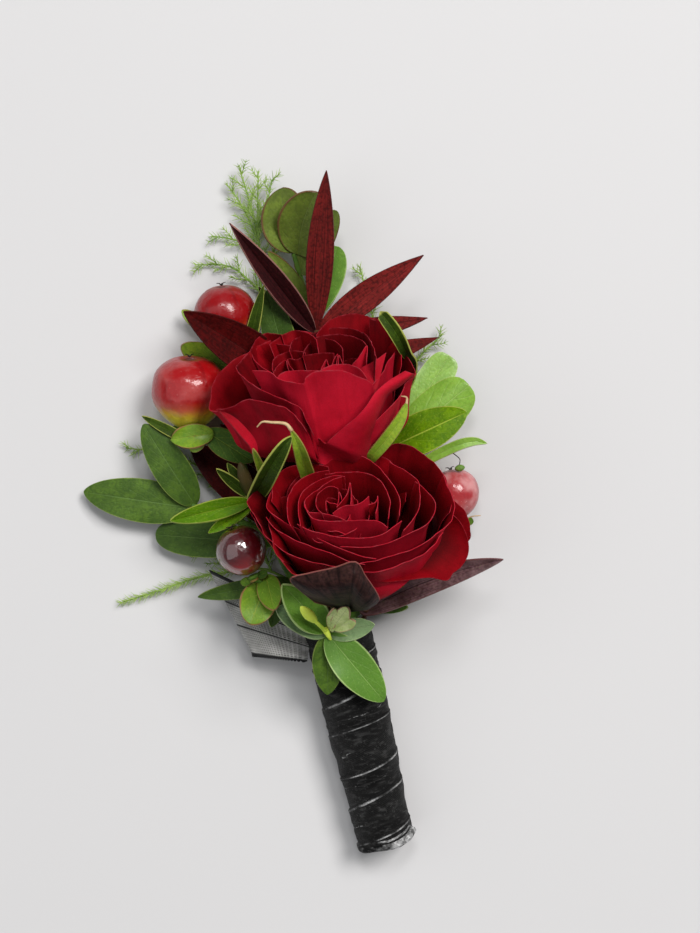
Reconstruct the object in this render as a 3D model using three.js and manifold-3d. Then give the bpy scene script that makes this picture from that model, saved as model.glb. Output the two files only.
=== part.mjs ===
// A boutonniere lying on a table: two crimson spray roses, four hypericum berries, burgundy
// and green sprigs and asparagus fern, bound in floral tape and wound in black ribbon.
// Millimetres. +Z is up and +Y runs from the handle to the flowers. The origin is on the
// table, under the binding where the stems leave the ribbon.

import * as THREE from 'three';
import { mergeVertices } from 'three/addons/utils/BufferGeometryUtils.js';
import Module from 'manifold-3d';

const wasm = await Module();
wasm.setup();

// Driving dimensions
const leafThickness = 0.7;
const petalThickness = 0.6;
const ribbonThickness = 0.6;
const clearance = 0.3;
const stemSides = 6;

const handleLean = 12.8;          // degrees to the right of -Y, seen from above
const handleDip = 1.3;            // degrees below level, so the tapered underside lies flat
const bindingHeight = 5.4;        // the handle's axis above the table at the binding
const wrapTop = -2;               // along the handle, measured down from the binding
const wrapBottom = 35.5;
const wrapFloor = 0.7;            // the folded ribbon that shuts the lower end
const wrapRadius = 5.55;
const wrapTaper = 0.85;           // how much thinner the lower end is
const taperStart = 8;
const ribbonTurn = 6.2;
const ribbonRidge = 0.35;
const boreRadius = 4.35;
const tapeOuter = 4.05;
const tapeInner = 3.6;
const tapeTop = -2.6;

const stemRadius = 1.0;
const stemRing = 2.3;             // the circle that six stems stand on, round the seventh
const thinRadius = 0.3;
const thinRing = 3.1;             // the circle of the pockets between those six and the tape
const stemFoot = wrapBottom - wrapFloor - clearance;

const radians = (degrees) => degrees * Math.PI / 180;
const vector = (list) => new THREE.Vector3(...list);
const smooth = (value) => THREE.MathUtils.smoothstep(value, 0, 1);
const quarter = Math.PI / 2;

// Repeatable random numbers, for the fern's needles
let seed = 20;
function random() {
  seed = (seed * 16807) % 2147483647;
  return seed / 2147483647;
}

// A closed geometry becomes a solid that can be joined and cut.
function solid(geometry) {
  const bare = geometry.index ? geometry.toNonIndexed() : geometry.clone();
  for (const name of Object.keys(bare.attributes)) {
    if (name !== 'position') bare.deleteAttribute(name);
  }
  const merged = mergeVertices(bare, 1e-4);
  const corners = merged.attributes.position;
  const index = Array.from(merged.index.array);
  const triangles = [];
  let volume = 0;
  const [a, b, c] = [0, 1, 2].map(() => new THREE.Vector3());
  for (let i = 0; i < index.length; i += 3) {
    const [p, q, r] = index.slice(i, i + 3);
    if (p === q || q === r || r === p) continue;
    triangles.push([p, q, r]);
    a.fromBufferAttribute(corners, p);
    b.fromBufferAttribute(corners, q);
    c.fromBufferAttribute(corners, r);
    volume += a.dot(b.cross(c));
  }
  const outward = volume < 0 ? triangles.map(([p, q, r]) => [p, r, q]) : triangles;
  return new wasm.Manifold(new wasm.Mesh({
    numProp: 3,
    vertProperties: new Float32Array(corners.array),
    triVerts: new Uint32Array(outward.flat()),
  }));
}

function join(solids) {
  return solids.reduce((whole, piece) => whole.add(piece));
}

function geometryOf(body) {
  const { vertProperties, triVerts } = body.getMesh();
  const geometry = new THREE.BufferGeometry();
  geometry.setAttribute('position', new THREE.BufferAttribute(vertProperties, 3));
  geometry.setIndex(new THREE.BufferAttribute(triVerts, 1));
  geometry.computeVertexNormals();
  return geometry;
}

// A thin closed blade round the surface centre(u, v), u from -1 to 1 and v from 0 to 1,
// with both faces split the same way.
function slab(columns, rows, centre, thickness) {
  const step = 0.02;
  const faces = [1, -1].map((side) => {
    const points = [];
    for (let j = 0; j <= rows; j += 1) {
      for (let i = 0; i <= columns; i += 1) {
        const u = -1 + 2 * i / columns;
        const v = j / rows;
        const [left, right] = [Math.max(-1, u - step), Math.min(1, u + step)];
        const [low, high] = [Math.max(0, v - step), Math.min(1, v + step)];
        const across = centre(right, v).sub(centre(left, v));
        const along = centre(u, high).sub(centre(u, low));
        const normal = across.cross(along).normalize();
        points.push(centre(u, v).addScaledVector(normal, side * thickness / 2));
      }
    }
    return points;
  });
  const width = columns + 1;
  const back = faces[0].length;
  const index = [];
  const quad = (p, q, r, s) => index.push(p, q, r, p, r, s);
  for (let j = 0; j < rows; j += 1) {
    for (let i = 0; i < columns; i += 1) {
      const p = j * width + i;
      quad(p, p + 1, p + width + 1, p + width);
      const b = p + back;
      index.push(b, b + width + 1, b + 1, b, b + width, b + width + 1);
    }
  }
  for (let i = 0; i < columns; i += 1) {
    const top = rows * width + i;
    quad(i + 1, i, i + back, i + 1 + back);
    quad(top, top + 1, top + 1 + back, top + back);
  }
  for (let j = 0; j < rows; j += 1) {
    const left = j * width;
    const right = left + columns;
    quad(left, left + width, left + width + back, left + back);
    quad(right + width, right, right + back, right + width + back);
  }
  const geometry = new THREE.BufferGeometry();
  const positions = faces.flat().flatMap((point) => point.toArray());
  geometry.setAttribute('position', new THREE.Float32BufferAttribute(positions, 3));
  geometry.setIndex(index);
  return solid(geometry);
}

// A leaf blade from base to tip. bow lifts its middle and sway pushes it sideways, roll turns
// it about its length, fold raises both halves from the midrib and cup bends them up.
function leaf({ base, tip, width, widest = 0.45, plump = 1.3, bow = 0, sway = 0, roll = 0,
  fold = 8, cup = 0, columns = 2, rows = width < 5 ? 3 : 4, neck = 0.9, thickness = leafThickness }) {
  const start = vector(base);
  const span = vector(tip).sub(start);
  const along = span.clone().normalize();
  const side = along.clone().cross(new THREE.Vector3(0, 0, 1)).normalize();
  const up = side.clone().cross(along);
  const turned = side.clone().applyAxisAngle(along, radians(roll));
  const face = up.clone().applyAxisAngle(along, radians(roll));
  const rise = Math.sin(radians(fold));
  const flat = Math.cos(radians(fold));
  const centre = (u, v) => {
    const arch = 4 * v * (1 - v);
    const outline = (v / widest) ** (widest * plump) * ((1 - v) / (1 - widest)) ** ((1 - widest) * plump);
    const half = Math.max(v < widest ? neck / 2 : 0.25, width / 2 * outline);
    return start.clone()
      .addScaledVector(span, v)
      .addScaledVector(up, bow * arch)
      .addScaledVector(side, sway * arch)
      .addScaledVector(turned, half * flat * u)
      .addScaledVector(face, half * (rise * Math.abs(u) + cup * u * u));
  };
  return slab(columns, rows, centre, thickness);
}

// A smooth route whose rings stand at its own points, or evenly between them
class Route extends THREE.CatmullRomCurve3 {
  getPointAt(part, target) {
    return this.getPoint(part, target);
  }

  getTangentAt(part, target) {
    return this.getTangent(part, target);
  }

  getSpacedPoints(divisions) {
    return this.getPoints(divisions);
  }
}

// A round stem along a smooth curve
function tube(points, radius, sides = stemSides, ringsPerPoint = 1) {
  const outline = new THREE.Shape();
  for (let i = 0; i < sides; i += 1) {
    const angle = 2 * Math.PI * i / sides;
    const [x, y] = [radius * Math.cos(angle), radius * Math.sin(angle)];
    if (i === 0) outline.moveTo(x, y); else outline.lineTo(x, y);
  }
  return solid(new THREE.ExtrudeGeometry(outline, {
    steps: (points.length - 1) * ringsPerPoint,
    extrudePath: new Route(points.map(vector)),
    bevelEnabled: false,
    curveSegments: 1,
  }));
}

// A turned shape with its foot at base, standing along axis. The profile lists radius and height.
function turned(profile, base, axis, sides = 10) {
  const geometry = new THREE.LatheGeometry(profile.map(([r, h]) => new THREE.Vector2(r, h)), sides);
  const upright = new THREE.Vector3(0, 1, 0);
  const turn = new THREE.Quaternion().setFromUnitVectors(upright, axis.clone().normalize());
  geometry.applyQuaternion(turn).translate(base.x, base.y, base.z);
  return solid(geometry);
}

function slenderBud(base, tip, radius) {
  const axis = vector(tip).sub(vector(base));
  const length = axis.length();
  const profile = [[0, 0], [radius * 0.6, 0.12], [radius, 0.5], [radius * 0.7, 0.8], [0, 1]];
  return turned(profile.map(([r, h]) => [r, h * length]), vector(base), axis, 6);
}

// Everything below z = 0 is cut away, which leaves a small flat spot to rest on.
function cutAtTable(body) {
  const size = 300;
  const above = new THREE.BoxGeometry(size, size, size).translate(0, 0, size / 2);
  return body.intersect(solid(above));
}

// Handle: a frame whose x is across, y towards the viewer and z down the handle
const down = new THREE.Vector3(
  Math.sin(radians(handleLean)), -Math.cos(radians(handleLean)), -Math.sin(radians(handleDip)),
).normalize();
const across = new THREE.Vector3(Math.cos(radians(handleLean)), Math.sin(radians(handleLean)), 0);
const front = down.clone().cross(across).normalize();
const binding = new THREE.Vector3(0, 0, bindingHeight);
const handleFrame = new THREE.Matrix4().makeBasis(across, front, down).setPosition(binding);

function inHandle(angle, ring, along) {
  const local = new THREE.Vector3(ring * Math.cos(radians(angle)), ring * Math.sin(radians(angle)), along);
  return local.applyMatrix4(handleFrame).toArray();
}

const mainSlot = (angle) => (along) => inHandle(angle, stemRing, along);
const pocketSlot = (angle) => (along) => inHandle(angle, thinRing, along);
const middleSlot = (along) => inHandle(0, 0, along);

// A stem's length inside the handle, then the points that it bends through
function stemFrom(slot, radius, points, sides = stemSides) {
  return tube([...[stemFoot, 2, tapeTop - 0.8].map(slot), ...points], radius, sides);
}

function drum(radius, top, bottom, sides = 24) {
  return new THREE.CylinderGeometry(radius, radius, bottom - top, sides)
    .rotateX(quarter).translate(0, 0, (top + bottom) / 2).applyMatrix4(handleFrame);
}

function wrapSurface(along) {
  const taper = smooth((along - taperStart) / (wrapBottom - taperStart));
  return wrapRadius - wrapTaper * taper;
}

// Ribbon wound down the handle, each turn lapping the one below in a small step
function ribbonWrap() {
  const sides = 18;
  const rows = [{ part: 0, lift: ribbonRidge }, { part: 0.9, lift: 0 }];
  const turns = Math.ceil((wrapBottom - wrapTop) / ribbonTurn) + 3;
  const start = wrapTop - 1.5 * ribbonTurn;
  const last = turns * rows.length;
  const positions = [];
  for (let j = 0; j <= last; j += 1) {
    const { part, lift } = rows[j % rows.length];
    for (let i = 0; i < sides; i += 1) {
      const along = start + ribbonTurn * (Math.floor(j / rows.length) + part + i / sides);
      const angle = 2 * Math.PI * i / sides;
      const radius = wrapSurface(along) + lift;
      positions.push(radius * Math.cos(angle), radius * Math.sin(angle), along);
    }
  }
  const at = (i, j) => (i < sides ? j * sides + i : (j + rows.length) * sides);
  const index = [];
  for (let i = 0; i < sides; i += 1) {
    const rowsHere = i === sides - 1 ? last - rows.length : last;
    for (let j = 0; j < rowsHere; j += 1) {
      index.push(at(i, j), at(i + 1, j), at(i + 1, j + 1), at(i, j), at(i + 1, j + 1), at(i, j + 1));
    }
  }
  const endTurn = ribbonTurn * (turns + 1);
  const headPoint = positions.length / 3;
  positions.push(0, 0, start - ribbonTurn);
  positions.push(0, 0, start + endTurn + ribbonTurn);
  const headLoop = [];
  const footLoop = [];
  for (let i = 0; i < sides; i += 1) {
    headLoop.push(at(i, 0));
    footLoop.push(at(i, last));
  }
  headLoop.push(at(0, 2), at(0, 1));
  footLoop.push(at(sides - 1, last - 1), at(sides - 1, last - 2));
  headLoop.forEach((point, i) => index.push(headLoop[(i + 1) % headLoop.length], point, headPoint));
  footLoop.forEach((point, i) => index.push(point, footLoop[(i + 1) % footLoop.length], headPoint + 1));
  const geometry = new THREE.BufferGeometry();
  geometry.setAttribute('position', new THREE.Float32BufferAttribute(positions, 3));
  geometry.setIndex(index);
  geometry.applyMatrix4(handleFrame);
  const trimmed = solid(geometry).intersect(solid(drum(wrapRadius * 2, wrapTop, wrapBottom)));
  const bored = trimmed.subtract(solid(drum(boreRadius, wrapTop - 5, wrapBottom - wrapFloor)));
  return cutAtTable(bored);
}

function floralTape() {
  const profile = [[tapeInner, tapeTop], [tapeOuter, tapeTop], [tapeOuter, stemFoot],
    [tapeInner, stemFoot], [tapeInner, tapeTop]];
  const ring = new THREE.LatheGeometry(profile.map(([r, h]) => new THREE.Vector2(r, h)), 20);
  return solid(ring.rotateX(quarter).applyMatrix4(handleFrame));
}

// Two layers of sheer ribbon that meet in a slanted fold at the left
const loop = {
  rootLow: [-6.9, -3.2], rootHigh: [-5.7, 3.6],
  foldLow: [-15, -2.6], foldHigh: [-20.5, 10],
  middle: 5.2, gap: 1.5,
};

function ribbonLoop() {
  const between = (from, to, part) => from.map((value, i) => THREE.MathUtils.lerp(value, to[i], part));
  const centre = (u, v) => {
    const root = between(loop.rootLow, loop.rootHigh, (u + 1) / 2);
    const fold = between(loop.foldLow, loop.foldHigh, (u + 1) / 2);
    const turn = Math.PI * v;
    const side = Math.sign(Math.cos(turn)) * Math.abs(Math.cos(turn)) ** 0.6;
    const [x, y] = between(root, fold, Math.sin(turn) ** 0.7);
    return new THREE.Vector3(x, y, loop.middle + loop.gap * side);
  };
  return slab(3, 10, centre, ribbonThickness);
}

// A rose: petals in layers round its axis. azimuth 0 faces the viewer and 90 is to the right.
function roseFrame(base, lean) {
  const axis = vector(lean).normalize();
  const near = new THREE.Vector3(0, 0, 1).addScaledVector(axis, -axis.z).normalize();
  const right = axis.clone().cross(near);
  return {
    axis,
    at: (azimuth, radius, level) => vector(base)
      .addScaledVector(axis, level)
      .addScaledVector(near, radius * Math.cos(radians(azimuth)))
      .addScaledVector(right, radius * Math.sin(radians(azimuth))),
  };
}

const petalFloor = 0.9;           // where a petal's foot stands on the rose's axis
const low = { root: 2.8, columns: 3 };   // the lowest petals, outside all the others

function petal(rose, { azimuth, span, root, belly, rim, height, curl = 0.8, drop = 0.4,
  slant = 1.3, peak = 0.5, columns = 3, rows = 3 }) {
  const centre = (u, v) => {
    const reach = v * (1 - 0.2 * Math.abs(u) ** 3);
    const bulge = Math.sin(quarter * Math.min(1, reach / 0.5));
    const open = smooth((reach - 0.4) / 0.6);
    const lip = Math.max(0, (reach - 0.75) / 0.25) ** 2;
    const radius = root + (belly - root) * bulge + (rim - belly) * open + curl * lip + slant * u / 2 * open;
    const level = petalFloor + (height - petalFloor) * reach - drop * lip
      + peak * lip * (1 - Math.abs(u)) ** 2;
    return rose.at(azimuth + span * u * (0.5 + 0.27 * bulge + 0.23 * open), radius, level);
  };
  return slab(columns, rows, centre, petalThickness);
}

function petalRing(rose, { count, first, ...shape }) {
  return Array.from({ length: count }, (_, i) => petal(rose, { ...shape, azimuth: first + 360 / count * i }));
}

function bloom(rose, { core, rings, outer }) {
  const foot = rose.at(0, 0, 0);
  const heart = [[0, 0], [3.4, 0.7], [4.2, 2.6], [3, 4.4], [1.3, 6.5], [1.4, core * 0.8], [0, core]];
  const petals = rings.flatMap((ring) => petalRing(rose, ring));
  return join([turned(heart, foot, rose.axis, 6), ...petals, ...outer.map((shape) => petal(rose, shape))]);
}

const upperRose = roseFrame([0.9, 30, 11.6], [-0.14, 0.915, 0.38]);
const lowerRose = roseFrame([2.6, 12.2, 16], [-0.12, 0.63, 0.767]);

function upperBloom() {
  const rings = [
    { count: 3, first: 20, span: 70, root: 0.7, belly: 2.6, rim: 2.9, height: 18.8, rows: 2 },
    { count: 4, first: 65, span: 54, root: 1.1, belly: 4.3, rim: 5.1, height: 19 },
    { count: 4, first: 10, span: 54, root: 1.5, belly: 6, rim: 7.6, height: 18.8 },
    { count: 5, first: 52, span: 44, root: 1.9, belly: 7.8, rim: 10.1, height: 18.6 },
  ];
  const wide = { root: 2.4, span: 44, belly: 9.6, rim: 12.6, height: 19.4, curl: 1.2, drop: 0.6, columns: 4 };
  const outer = [
    { ...wide, azimuth: -12, span: 48, rim: 12.2, height: 19.6, slant: 0.5 },
    { ...wide, azimuth: 60, rim: 12.4, height: 17.6 },
    { ...wide, azimuth: 132, rim: 12.8, height: 20.4 },
    { ...wide, azimuth: 204, rim: 13.6, height: 22 },
    { ...wide, azimuth: 276, rim: 17.2, height: 18.4, curl: 1.8 },
    { ...wide, ...low, azimuth: 283, span: 34, belly: 10.9, rim: 17, height: 14.4, curl: 2, drop: 1 },
  ];
  return bloom(upperRose, { core: 17.6, rings, outer });
}

function lowerBloom() {
  const rings = [
    { count: 3, first: 0, span: 70, root: 0.7, belly: 2.6, rim: 2.8, height: 18, rows: 2 },
    { count: 4, first: 40, span: 54, root: 1.1, belly: 4.3, rim: 5.2, height: 18 },
    { count: 5, first: 0, span: 44, root: 1.5, belly: 6, rim: 8.1, height: 17.6 },
    { count: 5, first: 34, span: 44, root: 1.9, belly: 7.8, rim: 10.8, height: 16.2 },
  ];
  const wide = { root: 2.4, span: 44, belly: 9.6, rim: 13.6, height: 14.5, curl: 1.4, drop: 0.8, columns: 4 };
  const outer = [
    { ...wide, azimuth: 8, belly: 9, rim: 10.8, height: 11.8, curl: 0.8 },
    { ...wide, azimuth: 80, rim: 14.5, height: 14 },
    { ...wide, azimuth: 152, rim: 11.2, height: 16 },
    { ...wide, azimuth: 224, rim: 11, height: 16.4 },
    { ...wide, azimuth: 296, rim: 13.8, height: 15.6 },
    { ...wide, ...low, azimuth: 72, span: 32, belly: 11.4, rim: 17.6, height: 12 },
    { ...wide, ...low, azimuth: 122, span: 30, belly: 11, rim: 16.6, height: 12.6 },
  ];
  return bloom(lowerRose, { core: 17, rings, outer });
}

// A rose's hip, just under its petals
const hipHeight = 4.6;

function hip(rose) {
  const rim = hipHeight - clearance;
  const profile = [[0, 0], [1.2, 0.2], [2.4, 1.6], [2.8, 3], [1.6, rim], [0, rim]];
  return turned(profile, rose.at(0, 0, -hipHeight), rose.axis, 8);
}

function sepal(rose, azimuth, tip, shape = {}) {
  const base = rose.at(azimuth, 1.8, -1.8).toArray();
  return leaf({ base, tip, width: 2.6, widest: 0.3, plump: 1.6, neck: 1.6, ...shape });
}

function spreadSepals(rose, azimuths, radius, level, shape) {
  return azimuths.map((azimuth) => sepal(rose, azimuth, rose.at(azimuth, radius, level).toArray(), shape));
}

function upperRoseStem() {
  const foot = upperRose.at(0, 0, -3.6).toArray();
  const before = upperRose.at(0, 0, -9).toArray();
  return join([
    stemFrom(middleSlot, stemRadius, [[0.6, 10, 6.2], before, foot]),
    hip(upperRose),
    sepal(upperRose, -45, [-7.8, 36, 28], { bow: 0.8, width: 2 }),
    sepal(upperRose, 80, [11.2, 39.4, 24.2], { bow: 3.3, width: 2 }),
    sepal(upperRose, 105, [6.8, 55.6, 18.9], { sway: 9, width: 2.2 }),
    ...spreadSepals(upperRose, [150, 225], 10.5, 1, { bow: -1 }),
  ]);
}

function lowerRoseStem() {
  const foot = lowerRose.at(0, 0, -3.6).toArray();
  const before = lowerRose.at(0, 0, -7).toArray();
  return join([
    stemFrom(mainSlot(60), stemRadius, [[1.9, 4.5, 8.6], before, foot]),
    hip(lowerRose),
    ...spreadSepals(lowerRose, [60, 130, 200, 270], 8.5, -0.5, { bow: -0.6 }),
  ]);
}

// Berries: an egg with the stump of its style on top
const styleRadius = 0.4;
const styleLength = 0.5;
const berries = {
  berry_upper_left: { centre: [-19.7, 55.7, 5.75], axis: [-0.17, 0.97, 0.15], radius: 5.3, colour: 0x8e1520 },
  berry_left: { centre: [-25.8, 42.6, 6.3], axis: [-0.15, 0.97, 0.15], radius: 6.4, colour: 0xa3202a },
  berry_low_left: { centre: [-16.3, 15.8, 15], axis: [-0.4, 0.9, 0.15], radius: 4.2, colour: 0x4a0a14 },
  berry_right: { centre: [19.8, 25.1, 4.2], axis: [-0.17, 0.97, 0.1], radius: 4.3, colour: 0x962630 },
};

function berryFoot({ centre, axis, radius }) {
  return vector(centre).addScaledVector(vector(axis).normalize(), -radius);
}

function berry(spec) {
  const { axis, radius } = spec;
  const profile = [[0, 0]];
  for (let i = 1; i < 8; i += 1) {
    const angle = Math.PI * i / 8;
    profile.push([radius * Math.sin(angle) * (1 + 0.02 * Math.cos(angle)), radius * (1 - Math.cos(angle))]);
  }
  const styleTip = radius * 2 + styleLength;
  profile.push([styleRadius, radius * 2], [styleRadius / 2, styleTip], [0, styleTip]);
  return cutAtTable(turned(profile, berryFoot(spec), vector(axis), 14));
}

// The small cup and the spread sepals under a berry
function berryCup(spec, count, length, first = 0) {
  const frame = roseFrame(berryFoot(spec).toArray(), spec.axis);
  const cup = turned([[0, 0], [0.9, 0.2], [1.1, 0.9], [0, 0.9]], frame.at(0, 0, -1.25), frame.axis, 6);
  const sepals = Array.from({ length: count }, (_, i) => {
    const azimuth = first + 360 / count * i;
    return leaf({
      base: frame.at(azimuth, 0.4, -0.9).toArray(),
      tip: frame.at(azimuth, length, -0.35 * length).toArray(),
      width: length * 0.55, widest: 0.5, plump: 1.2, rows: 2, fold: 0,
    });
  });
  return [cup, ...sepals];
}

const twigEnd = (spec) => roseFrame(berryFoot(spec).toArray(), spec.axis).at(0, 0, -0.9).toArray();

function hypericumLeft() {
  const { berry_upper_left: upper, berry_left: left } = berries;
  return join([
    stemFrom(mainSlot(180), 0.9, [[-5.5, 5.5, 5], [-10, 14, 4.4], [-15, 24, 4.6], [-17.5, 33, 4.4]]),
    tube([[-17, 31, 4.4], [-20.5, 34, 4.2], twigEnd(left)], 0.6, 5),
    tube([[-17.3, 32, 4.4], [-16.6, 40, 2.8], [-17.2, 47, 3.4], twigEnd(upper)], 0.6, 5),
    tube([[-12, 18, 4.4], [-19, 21, 4.6], [-25.5, 23, 4.4]], 0.6, 5),
    leaf({ base: [-25, 23.2, 4.4], tip: [-33.5, 37, 7.5], width: 6.2, bow: 1 }),
    leaf({ base: [-25, 22.6, 4], tip: [-44.5, 25.4, 2], width: 7.4, bow: 1.2 }),
    leaf({ base: [-11.4, 16.5, 4.2], tip: [-32, 18, 2.4], width: 6.5, widest: 0.62, bow: 1 }),
    leaf({ base: [-16.6, 31, 4.8], tip: [-22.6, 36.4, 8.6], width: 4.4, bow: 1 }),
    leaf({ base: [-17, 45, 3], tip: [-26.8, 52.6, 3.4], width: 3.2, bow: -0.8 }),
    leaf({ base: [-16.6, 45, 3], tip: [-10.6, 59.4, 6.5], width: 3 }),
    leaf({ base: [-16.9, 45.2, 3.2], tip: [-12.8, 60.4, 11.4], width: 2, bow: 1.3 }),
    ...berryCup(left, 5, 4.4, 20),
    ...berryCup(upper, 4, 2.6, 10),
  ]);
}

function hypericumFront() {
  const low = berries.berry_low_left;
  return join([
    stemFrom(mainSlot(120), 0.8, [[-3.6, 5, 8.2], [-7.5, 10, 9.6], [-11, 17, 10], [-15, 24.5, 11.8]]),
    tube([[-7, 9.4, 9.4], [-11, 9.5, 11.6], twigEnd(low)], 0.5, 5),
    leaf({ base: [-12.6, 10, 12.4], tip: [-14.6, 4.2, 15.4], width: 6.2, plump: 1 }),
    leaf({ base: [-12.6, 10.4, 12.8], tip: [-11.2, 6.5, 17], width: 3.2 }),
    leaf({ base: [-9.5, 9.5, 10.8], tip: [-11.6, 2.6, 10], width: 2.8 }),
    leaf({ base: [-8, 10.6, 9.7], tip: [-24.3, 7.5, 7], width: 3.2, bow: 0.8 }),
    leaf({ base: [-14.8, 24, 11.8], tip: [-28.4, 20.7, 13], width: 3.4, bow: 0.8 }),
    leaf({ base: [-14.6, 23.4, 11.6], tip: [-22.1, 18.6, 12], width: 2.4, fold: 25 }),
    leaf({ base: [-15, 24.6, 12], tip: [-20.4, 29.4, 16.5], width: 1.8 }),
    leaf({ base: [-15, 24.6, 12.4], tip: [-18.8, 30.4, 13.4], width: 1.8 }),
    leaf({ base: [-14.9, 24.4, 12], tip: [-9.8, 31.4, 14.8], width: 2.6, fold: 30 }),
    leaf({ base: [-15, 24.6, 12], tip: [-14.2, 32.6, 14.4], width: 2 }),
    slenderBud([-15, 24.4, 12], [-16.6, 30.6, 15], 1.2),
    ...berryCup(low, 4, 2.4, 0),
  ]);
}

function hypericumRight() {
  const right = berries.berry_right;
  return join([
    stemFrom(mainSlot(0), 0.9, [[4, 6, 5], [7, 14, 4.4], [8.5, 24, 4.6], [8.6, 33, 6]]),
    tube([[7.6, 17, 4.4], [14, 18.6, 3.6], twigEnd(right)], 0.5, 5),
    leaf({ base: [8.4, 33, 6.4], tip: [21.4, 39, 11], width: 6.8, bow: 1.2 }),
    leaf({ base: [8.6, 32.5, 5.8], tip: [22, 43.4, 7.4], width: 7.2, widest: 0.6, plump: 1 }),
    leaf({ base: [8.4, 32.6, 5.4], tip: [18.8, 48.6, 5], width: 5, widest: 0.6 }),
    leaf({ base: [8.2, 31.5, 6.2], tip: [10.5, 41.5, 9.4], width: 3.2 }),
    leaf({ base: [8.6, 26, 5], tip: [24.8, 34, 11.5], width: 1.6, bow: 1.4 }),
    leaf({ base: [4.2, 6.4, 5.4], tip: [13, 5, 8], width: 3.2 }),
    ...berryCup(right, 4, 2.4, 0),
  ]);
}

function leucadendronTop() {
  const red = (base, tip, width, shape = {}) => (
    leaf({ base, tip, width, widest: 0.42, plump: 1.7, ...shape }));
  return join([
    stemFrom(mainSlot(240), 0.9,
      [[-2.6, 6, 3.2], [-4, 15, 2.2], [-5, 28, 1.6], [-5.2, 40, 1.6], [-4.5, 48, 2.2], [-4, 53.5, 3.9]]),
    red([-4, 53, 4], [-2.4, 78, 17], 5, { bow: 0.4 }),
    red([-4.2, 52.8, 3.8], [-18.4, 70.4, 14], 4.4, { fold: 32, bow: 0.6 }),
    red([-3.8, 53, 4], [14, 65.2, 13], 4.8, { bow: 0.6 }),
    red([-3.8, 52, 4], [15, 55.2, 6.6], 3.6, { bow: -0.4 }),
    red([-4.8, 45, 2.4], [17, 52, 5.6], 4.2),
    red([-5.4, 43, 2], [-26, 55.6, 14.4], 6.6, { fold: 18 }),
    red([-4.2, 16, 2.4], [-26, 33.6, 3.6], 5, { bow: -0.7 }),
  ]);
}

function leucadendronFront() {
  return join([
    stemFrom(pocketSlot(30), thinRadius, [[3.6, 3.6, 8.2], [4.4, 5, 10.8], [4.5, 6.8, 13.3]], 5),
    leaf({ base: [4.4, 5.2, 11.4], tip: [27.4, 14.2, 13], width: 3.6, fold: 30, bow: -0.8, plump: 1.5 }),
    leaf({
      base: [4.5, 6.4, 13], tip: [2.8, 14.6, 37.2], width: 13, widest: 0.62,
      bow: 7, sway: -4.8, cup: -0.1, fold: 0, columns: 4,
    }),
  ]);
}

function leafyTop() {
  return join([
    stemFrom(mainSlot(300), 0.8,
      [[1.2, 6, 3], [2.6, 15, 1.8], [3, 28, 1.2], [1.5, 40, 1.2], [-1.5, 49, 1.3], [-5, 57, 2.4],
        [-8, 66.4, 5.4]]),
    leaf({ base: [-8, 65.6, 5], tip: [-10.4, 77.4, 8.4], width: 6.8, widest: 0.55, plump: 0.85 }),
    leaf({ base: [-7.8, 65.4, 5.4], tip: [-4.2, 76.2, 10.8], width: 6.8, widest: 0.5, plump: 0.85 }),
    leaf({ base: [-7, 63, 4.4], tip: [-0.6, 73.6, 6.6], width: 4.8, plump: 1 }),
    leaf({ base: [-4.6, 56.4, 2.8], tip: [0.4, 67.2, 5.6], width: 4.6, widest: 0.55 }),
    leaf({ base: [-5, 57, 3], tip: [-12, 65.6, 8], width: 2.7 }),
    leaf({ base: [-3.2, 53.6, 2.2], tip: [4.8, 57.6, 3.6], width: 3 }),
  ]);
}

function leafyFront() {
  const node = [-2, 2, 15];
  return join([
    stemFrom(pocketSlot(90), thinRadius, [[-0.8, 4.2, 10.6], [-1.6, 4, 13.2], node], 5),
    turned([[0, -0.9], [0.8, -0.4], [0.8, 0.5], [0, 0.9]], vector(node), new THREE.Vector3(0, 0, 1), 6),
    leaf({ base: [-2, 2.4, 15], tip: [-8.6, 10.2, 18.4], width: 4.8, cup: 0.3 }),
    leaf({ base: [-2, 2, 14.8], tip: [-10.3, 6.2, 14.2], width: 4.2, cup: 0.2 }),
    leaf({ base: [-2, 2, 15], tip: [5.8, 3.4, 16], width: 3.2 }),
    leaf({ base: [-2, 2, 15], tip: [7.4, -9.4, 13.4], width: 6.4, bow: 0.8 }),
    leaf({ base: [-2, 2, 14.6], tip: [-1.6, -8.4, 12.4], width: 4.4, bow: 0.4 }),
    leaf({ base: [-2, 2, 15], tip: [-1.4, 3.4, 18.4], width: 2.6, plump: 1 }),
    slenderBud([-2, 2, 15], [-6, 7, 20.5], 0.8),
  ]);
}

// Asparagus fern: a fine stalk whose sides are drawn out into slender needles, in tufts
const needleLength = 3;
const fernRadius = 0.3;

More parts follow.
